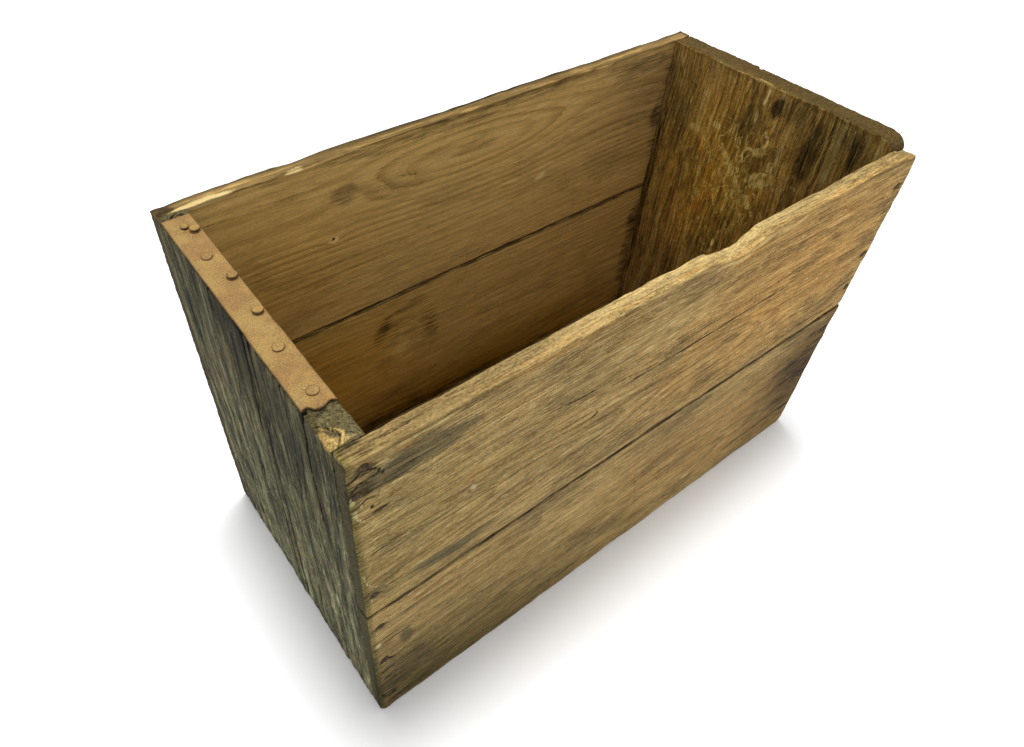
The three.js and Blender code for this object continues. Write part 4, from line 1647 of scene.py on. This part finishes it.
    def right_end(self) -> Board:
        """The single wide board of the right end, which stands a little proud of the sides."""
        corner = worn_corner(-112.7, 13, 1)
        return Board(
            "right_end_board", ALONG_Z,
            Rings(
                (-20, 212), 240, 4.6, taper=0.06, wander=12, wobble=4,
                knots=(Knot((322, -8), (22, 12), 12), Knot((300, 12), (16, 10), 6)),
            ),
            self.RIGHT_WOOD, "end_board_wood", 73, relief=0.7, cells=(3.0, 1.5, 1.6), rims=(),
            nails=nails_of(
                "front_upper_right", "front_lower_right", "back_upper_right", "back_lower_right",
                "right_floor",
            ),
            trims=[
                Trim(TOP, 1, (*corner, (-65, 0), (0, -2.2), (112, -5)), 34, 1.0),
                Trim(BOTTOM, 1, ((-112, 0), (-30, 0), (0, -1.4), (30, 0), (112, 0)), 30, 1.4),
            ],
            checks=[
                Check(RIGHT, ((30, 341), (28, 280), (31, 200)), 1.7, 2),
                Check(RIGHT, ((-60, 0), (-58, 70), (-61, 120)), 1.6, 2),
            ],
            marks=[
                *marks_of(
                    Tone.DARK, LEFT, ((-86, 318), (9, 30), 0.6), ((-52, 300), (11, 52), 0.62),
                    ((-8, 324), (10, 15), 0.62), ((-18, 322), (22, 18), 0.45),
                    ((107, 170), (7, 170), 0.6), ((5, 170), (34, 38), 0.55),
                    ((-20, 60), (120, 60), 0.45), ((0, 14), (120, 24), 0.6),
                    ((70, 300), (3, 40), 0.35),
                ),
                *marks_of(
                    Tone.PALE, LEFT, ((-69, 300), (5, 50), 0.45), ((8, 308), (4, 9), 0.6),
                    ((-5, 276), (9, 6), 0.6, 0, 0.7), ((-12, 252), (14, 9), 0.6, 0, 0.8),
                    ((46, 282), (6, 5), 0.65, 0, 0.7), ((65, 268), (12, 7), 0.55, 0, 0.8),
                    ((22, 256), (30, 4), 0.6, 42, 0.6), ((0, 233), (24, 4), 0.6, 35, 0.6),
                    ((82, 150), (10, 110), 0.3), ((12, 218), (9, 6), 0.4, 0, 0.8),
                ),
                Mark(Tone.FRESH, LEFT, (4.5, 334), (2, 8), 0.95),
                *marks_of(
                    Tone.WARM, LEFT, ((42, 205), (24, 62), 0.5, 0, 0.6), ((60, 255), (14, 16), 0.5),
                ),
                Mark(Tone.WHITE, LEFT, (10, 166), (3, 6), 0.9, 0, 0.6),
                Mark(Tone.GREY, LEFT, (62, 120), (10, 30), 0.5),
                Mark(Tone.GREY, TOP, (248, 0), (9, 120), 0.5),
                Mark(Tone.PALE, TOP, (236.5, 0), (2.6, 115), 0.75),
                *marks_of(Tone.TIDE, LEFT, ((14, 246), (64, 58), 0.95), ((30, 170), (40, 60), 0.6)),
                Mark(Tone.FRESH, TOP, (236, 12), (2, 9), 0.9),
                Mark(Tone.GREY, RIGHT, (0, 170), (120, 180), 0.7),
                *marks_of(Tone.DARK, RIGHT, ((-40, 300), (30, 40), 0.4), ((0, 10), (120, 14), 0.5)),
                Mark(Tone.PALE, RIGHT, (40, 150), (40, 90), 0.3),
                Mark(Tone.GREY, FRONT, (245, 338), (12, 6), 0.7),
            ],
            washes=[
                Wash(LEFT, (30, 220), (90, 120), (1.5, 1.36, 0.8)),
                Wash(LEFT, (-75, 310), (50, 70), (0.7, 0.7, 0.6)),
                Wash(TOP, (250, 0), (60, 300), (0.75, 0.68, 0.55)),
            ],
            scratches=[
                *scratches_of(
                    Tone.DARK, LEFT,
                    (((-17, 318), (-14, 330), (-6, 335), (2, 328), (1, 316), (-7, 311)), 2.4, 0.42),
                    (((-10, 320), (-6, 327), (-3, 320)), 2.4, 0.5),
                    (((-30, 330), (-32, 300), (-30, 262)), 3.0, 0.36),
                    (((-62, 335), (-64, 300), (-60, 250)), 4.0, 0.45),
                    (((-44, 336), (-46, 310), (-42, 280)), 4.0, 0.45),
                    (((84, 338), (86, 300), (82, 240), (84, 180)), 2.4, 0.3),
                    (((70, 338), (68, 310), (72, 270)), 2.0, 0.3),
                ),
                Scratch(Tone.WHITE, LEFT, ((4, 335), (5, 322)), 2.2, 0.8),
                *scratches_of(
                    Tone.PALE, LEFT,
                    (((-4, 300), (-12, 290), (-4, 280), (6, 278), (10, 268)), 2.8, 0.85),
                    (((34, 268), (26, 256), (16, 250), (4, 238), (-8, 232), (-20, 218)), 2.6, 0.85),
                    (((58, 276), (50, 270), (46, 258), (52, 248)), 2.2, 0.6),
                    (((18, 250), (20, 232), (10, 220), (12, 204)), 2.4, 0.85),
                    (((-20, 262), (-10, 256), (-2, 246)), 3.2, 0.85),
                    (((30, 222), (24, 206), (14, 196)), 2.6, 0.85),
                ),
            ],
        )

    def floor_board(self, name: str, seed: int) -> Board:
        """One of the three boards of the floor.

        Args:
            name: The board's node.
            seed: Sets its figure and wear.

        Returns:
            The board.
        """
        low, high = node_box(name)
        middle = float(low[1] + high[1]) / 2
        return Board(
            name, FLAT_X, Rings((middle, -46), 40, 3.2, taper=0.05), self.FLOOR_WOOD,
            "floor_board_wood", seed, cells=(5.0, 1.9, 2.0),
            marks=[
                *marks_of(
                    Tone.DARK, TOP, ((-225, middle), (26, 50), 0.5), ((225, middle), (26, 50), 0.5),
                    ((0, middle + 6), (120, 16), 0.3),
                ),
                Mark(Tone.GREY, BOTTOM, (0, middle), (240, 50), 0.6),
                Mark(Tone.DARK, BOTTOM, (60, middle - 10), (90, 14), 0.4),
            ],
        )

    def boards(self) -> list[Board]:
        """Every board of the crate.

        Returns:
            The boards, in the order that they are made.
        """
        seeds = {"front": 80, "middle": 87, "back": 94}
        floors = [self.floor_board(f"floor_{place}_board", seed) for place, seed in seeds.items()]
        ends = [self.left_front_end(), self.left_back_end(), self.right_end()]
        return [self.front_upper(), self.front_lower(), self.back_upper(), self.back_lower(), *ends, *floors]


# ---------------------------------------------------------------------------------------------
# Iron
# ---------------------------------------------------------------------------------------------


@dataclass
class Strap:
    """The thin iron strap along the top of the left end, torn off at its front."""

    node: str = "top_strap"
    cells: tuple[float, float, float] = (1.1, 1.4, 0.6)
    tear: float = 7.0
    sag: float = 0.35
    pits: float = 0.16
    seed: int = 97

    def build(self, material: bpy.types.Material) -> bpy.types.Object:
        """Make the strap.

        Args:
            material: The rust it wears.

        Returns:
            The strap.
        """
        noise = SmoothNoise(self.seed)
        low, high = node_box(self.node)
        lines = [cut_lines(low[axis], high[axis], self.cells[axis]) for axis in range(3)]
        points, faces = grid_box(lines)
        radius = 0.25 + 0.3 * noise.at(points, (8, 8, 8), 2)
        centre, facing, radius = soften(points, low, high, radius)
        shaped = centre + facing * radius
        front = 1 - np.clip((points[:, 1] - low[1]) / 24, 0, 1)
        share = (points[:, 0] - low[0]) / (high[0] - low[0])
        ragged = noise.at(points, (3.4, 900, 900), 3) * 3.2
        torn = self.tear * (0.55 * (1 - share) + 0.25 * np.sin(9 * share))
        shaped[:, 1] += front * ((1 - share) * -0.6 + torn + ragged - 1.4)
        sides = 2 * share - 1
        shaped[:, 0] -= 0.9 * sides * noise.at(points, (900, 14, 900), 3) * np.abs(sides)
        shaped[:, 2] += self.sag * (noise.at(points, (14, 26, 900), 2) - 0.55) * 1.6
        shaped[:, 2] += 0.5 * ease(front, 0.8, 1.0) * noise.at(points, (6, 6, 900), 1)
        for name in nails_of("strap"):
            nail_low, nail_high = node_box(name)
            gap = np.hypot(*(points[:, :2] - ((nail_low + nail_high) / 2)[:2]).T)
            shaped[:, 2] -= 0.55 * (1 - ease(gap, 2.6, 7.5))
        upper = facing[:, 2] > 0.3
        shaped[:, 2] -= upper * self.pits * ease(noise.at(points, (2.2, 2.2, 2.2), 3), 0.55, 0.8) * 1.6
        edge = 1 - (facing**2).max(axis=1)
        worn = 0.5 * ease(edge, 0.15, 0.6)
        worn += 0.45 * ease(np.abs(sides), 0.86, 1.0) + 0.6 * ease(front, 0.93, 1)
        attributes = {"grain": shaped, "worn": np.clip(worn, 0, 1)}
        return mesh_piece(f"{self.node}_seen", shaped, faces, attributes, material, self.node)


@dataclass
class Nail:
    """One driven nail: a hammered head, a shank and a point."""

    # The head's crown: shares of its radius, and how far it has fallen there for a dome of one.
    CROWN = ((0.001, 0), (0.3, -0.04), (0.55, -0.12), (0.75, -0.26), (0.88, -0.46), (0.96, -0.8), (1.0, -1.2))
    # Heads wider than these are hammered flat in the strap, or are thicker in the wood.
    FLAT_HEAD = 3.55
    STOUT_HEAD = 3.4

    node: str
    around: int = 28
    shank: float = 1.3
    lumps: float = 0.07
    driven: float = 0.75

    def build(self, material: bpy.types.Material, seed: int) -> bpy.types.Object:
        """Make the nail.

        Args:
            material: The rust it wears.
            seed: Sets how its head was hammered.

        Returns:
            The nail.
        """
        noise = SmoothNoise(seed)
        side = nail_side(self.node)
        low, high = node_box(self.node)
        middle = (low + high) / 2
        first, second = side.plane
        head = (high[first] - low[first]) / 2
        length = high[side.axis] - low[side.axis]
        in_strap = side is Side.TOP
        flat = in_strap and head > self.FLAT_HEAD
        thick = 1.7 if in_strap or head >= self.STOUT_HEAD else 1.3
        dome = 0.2 if flat else 0.5 if in_strap else 0.28
        rings = [(head * share, fall * dome) for share, fall in self.CROWN]
        rings += [(head * 0.97, -thick * 0.72), (head * 0.88, -thick * 0.92)]
        rings += [(self.shank * 1.15, -thick), (self.shank, -thick - 0.8), (self.shank * 0.96, -length * 0.6)]
        rings += [(self.shank * 0.9, 4 - length), (0.5, 1.4 - length), (0.02, -length)]
        angles = np.linspace(0, 2 * np.pi, self.around, endpoint=False)
        radius, fall = np.array(rings).T
        spin = np.stack([np.cos(angles), np.sin(angles)], axis=1)
        local = np.zeros((len(rings), self.around, 3))
        local[..., first] = radius[:, None] * spin[:, 0]
        local[..., second] = radius[:, None] * spin[:, 1]
        local = local.reshape(-1, 3)
        depth = np.repeat(fall, self.around)
        lumps = noise.at(local + seed, (head * 0.8,) * 3, 2) - 0.5
        grown = 1 + self.lumps * 2 * lumps * (depth > -thick * 1.01)
        local[:, first] *= grown
        local[:, second] *= grown
        face = depth > -0.7
        depth = depth + face * 0.22 * (noise.at(local + 3 * seed, (1.5, 1.5, 1.5), 2) - 0.62)
        local[:, side.axis] = side.way * depth
        top = middle.copy()
        top[side.axis] = high[side.axis] if side.way > 0 else low[side.axis]
        top[2] -= self.driven if flat else 0
        points = local + top
        number = np.arange(len(points)).reshape(len(rings), self.around)
        beside = np.roll(number, -1, axis=1)
        quads = np.stack([number[:-1], number[1:], beside[1:], beside[:-1]], axis=-1).reshape(-1, 4)
        turned = (side.way > 0) == (side.axis == 1)
        quads = quads[:, ::-1] if turned else quads
        rim = ease(np.repeat(radius, self.around) / head, 0.82, 1.0)
        attributes = {"grain": points, "worn": np.clip(rim * 0.8 + (depth < -0.7), 0, 1)}
        made = mesh_piece(f"{self.node}_seen", points, quads, attributes, material, self.node)
        self.close_ends(made)
        return made

    def close_ends(self, nail: bpy.types.Object) -> None:
        """Close the small holes at the head's middle and at the point.

        Args:
            nail: The nail's object.
        """
        skin = bmesh.new()
        skin.from_mesh(nail.data)
        bmesh.ops.remove_doubles(skin, verts=skin.verts, dist=0.02 * MM)
        bmesh.ops.holes_fill(skin, edges=skin.edges, sides=0)
        bmesh.ops.recalc_face_normals(skin, faces=skin.faces)
        skin.to_mesh(nail.data)
        skin.free()
        nail.data.shade_smooth()


# ---------------------------------------------------------------------------------------------
# Studio
# ---------------------------------------------------------------------------------------------


@dataclass
class Studio:
    """A plain pale floor, soft light from above, and the camera."""

    eye: tuple[float, float, float] = (-0.3346, -0.3176, 0.6322)
    right: tuple[float, float, float] = (0.7954, -0.6045, 0.0426)
    up: tuple[float, float, float] = (0.4129, 0.5922, 0.6919)
    lens: float = 26.27
    shift: tuple[float, float] = (0.0290, -0.0262)
    sky: float = 0.77
    floor_size: float = 14.0

    def lay_floor(self) -> bpy.types.Object:
        """Lay the floor under the crate.

        Returns:
            The floor.
        """
        tree = ShaderTree("studio_floor_paper")
        coordinates = tree.signal("ShaderNodeTexCoord", {}, {}, "Object")
        grain = tree.noise(coordinates, (0.004, 0.004, 0.004), 2, 1.0)
        colour = tree.mix(grain, paint(249, 249, 249), paint(252, 252, 252))
        sockets = {"Base Color": colour, "Roughness": 0.95, "Specular IOR Level": 0.1}
        paper = tree.finish(sockets, grain, 0.00002)
        half = self.floor_size / 2
        mesh = bpy.data.meshes.new("studio_floor")
        corners = [(-half, -half, 0), (half, -half, 0), (half, half, 0), (-half, half, 0)]
        mesh.from_pydata(corners, [], [(0, 1, 2, 3)])
        mesh.materials.append(paper)
        floor = bpy.data.objects.new("studio_floor", mesh)
        floor.location.z = -0.4 * MM
        bpy.context.scene.collection.objects.link(floor)
        return floor

    def hang_light(self, name: str, place: tuple, aim: tuple, size: float, power: float) -> bpy.types.Object:
        """Hang one soft light.

        Args:
            name: The light's name.
            place: Where it hangs, in metres.
            aim: The point that it faces.
            size: The side of its square face.
            power: Its power in watts.

        Returns:
            The light.
        """
        data = bpy.data.lights.new(name, "AREA")
        data.size = size
        data.energy = power
        light = bpy.data.objects.new(name, data)
        light.location = place
        light.rotation_euler = (Vector(aim) - Vector(place)).to_track_quat("-Z", "Y").to_euler()
        bpy.context.scene.collection.objects.link(light)
        return light

    def set_sky(self) -> None:
        """Light the room evenly from all round."""
        world = bpy.data.worlds.new("studio_sky")
        world.use_nodes = True
        background = world.node_tree.nodes["Background"]
        background.inputs["Color"].default_value = (1.0, 1.0, 1.0, 1.0)
        background.inputs["Strength"].default_value = self.sky
        bpy.context.scene.world = world

    def set_camera(self) -> bpy.types.Object:
        """Place the camera.

        Returns:
            The camera.
        """
        data = bpy.data.cameras.new("view")
        data.lens = self.lens
        data.sensor_width = 36.0
        data.shift_x, data.shift_y = self.shift
        data.clip_start = 0.01
        camera = bpy.data.objects.new("view", data)
        right = Vector(self.right).normalized()
        up = Vector(self.up)
        up = (up - right * up.dot(right)).normalized()
        turned = Matrix((right, up, right.cross(up))).transposed().to_4x4()
        camera.matrix_world = Matrix.Translation(Vector(self.eye)) @ turned
        bpy.context.scene.collection.objects.link(camera)
        bpy.context.scene.camera = camera
        return camera

    def build(self) -> None:
        """Set up the whole studio."""
        bpy.context.scene.view_settings.view_transform = "Standard"
        self.set_sky()
        self.lay_floor()
        self.hang_light("soft_box_above", (0.12, 0.32, 4.0), (0, 0, 0), 0.8, 120)
        self.set_camera()


def main() -> None:
    """Build the studio and the crate, and report each piece."""
    logging.basicConfig(level=logging.INFO, format="%(name)s: %(message)s")
    Studio().build()
    for board in Crate().boards():
        made = board.build()
        log.info("%s has %d faces", made.name, len(made.data.polygons))
    made = Strap().build(Rust().make("strap_rust", 1.0))
    log.info("%s has %d faces", made.name, len(made.data.polygons))
    strap_nail = Rust().make("strap_nail_rust", 5.0)
    dark_rust = Rust(tan=paint(66, 54, 33), brown=paint(44, 35, 20), orange=paint(98, 68, 34))
    side_nail = dark_rust.make("side_nail_rust", 9.0)
    for number, node in enumerate(nails_of("")):
        iron = strap_nail if node.startswith("strap") else side_nail
        made = Nail(node).build(iron, FIRST_NAIL_SEED + number)
        log.info("%s has %d faces", made.name, len(made.data.polygons))


if __name__ == "__main__":
    main()
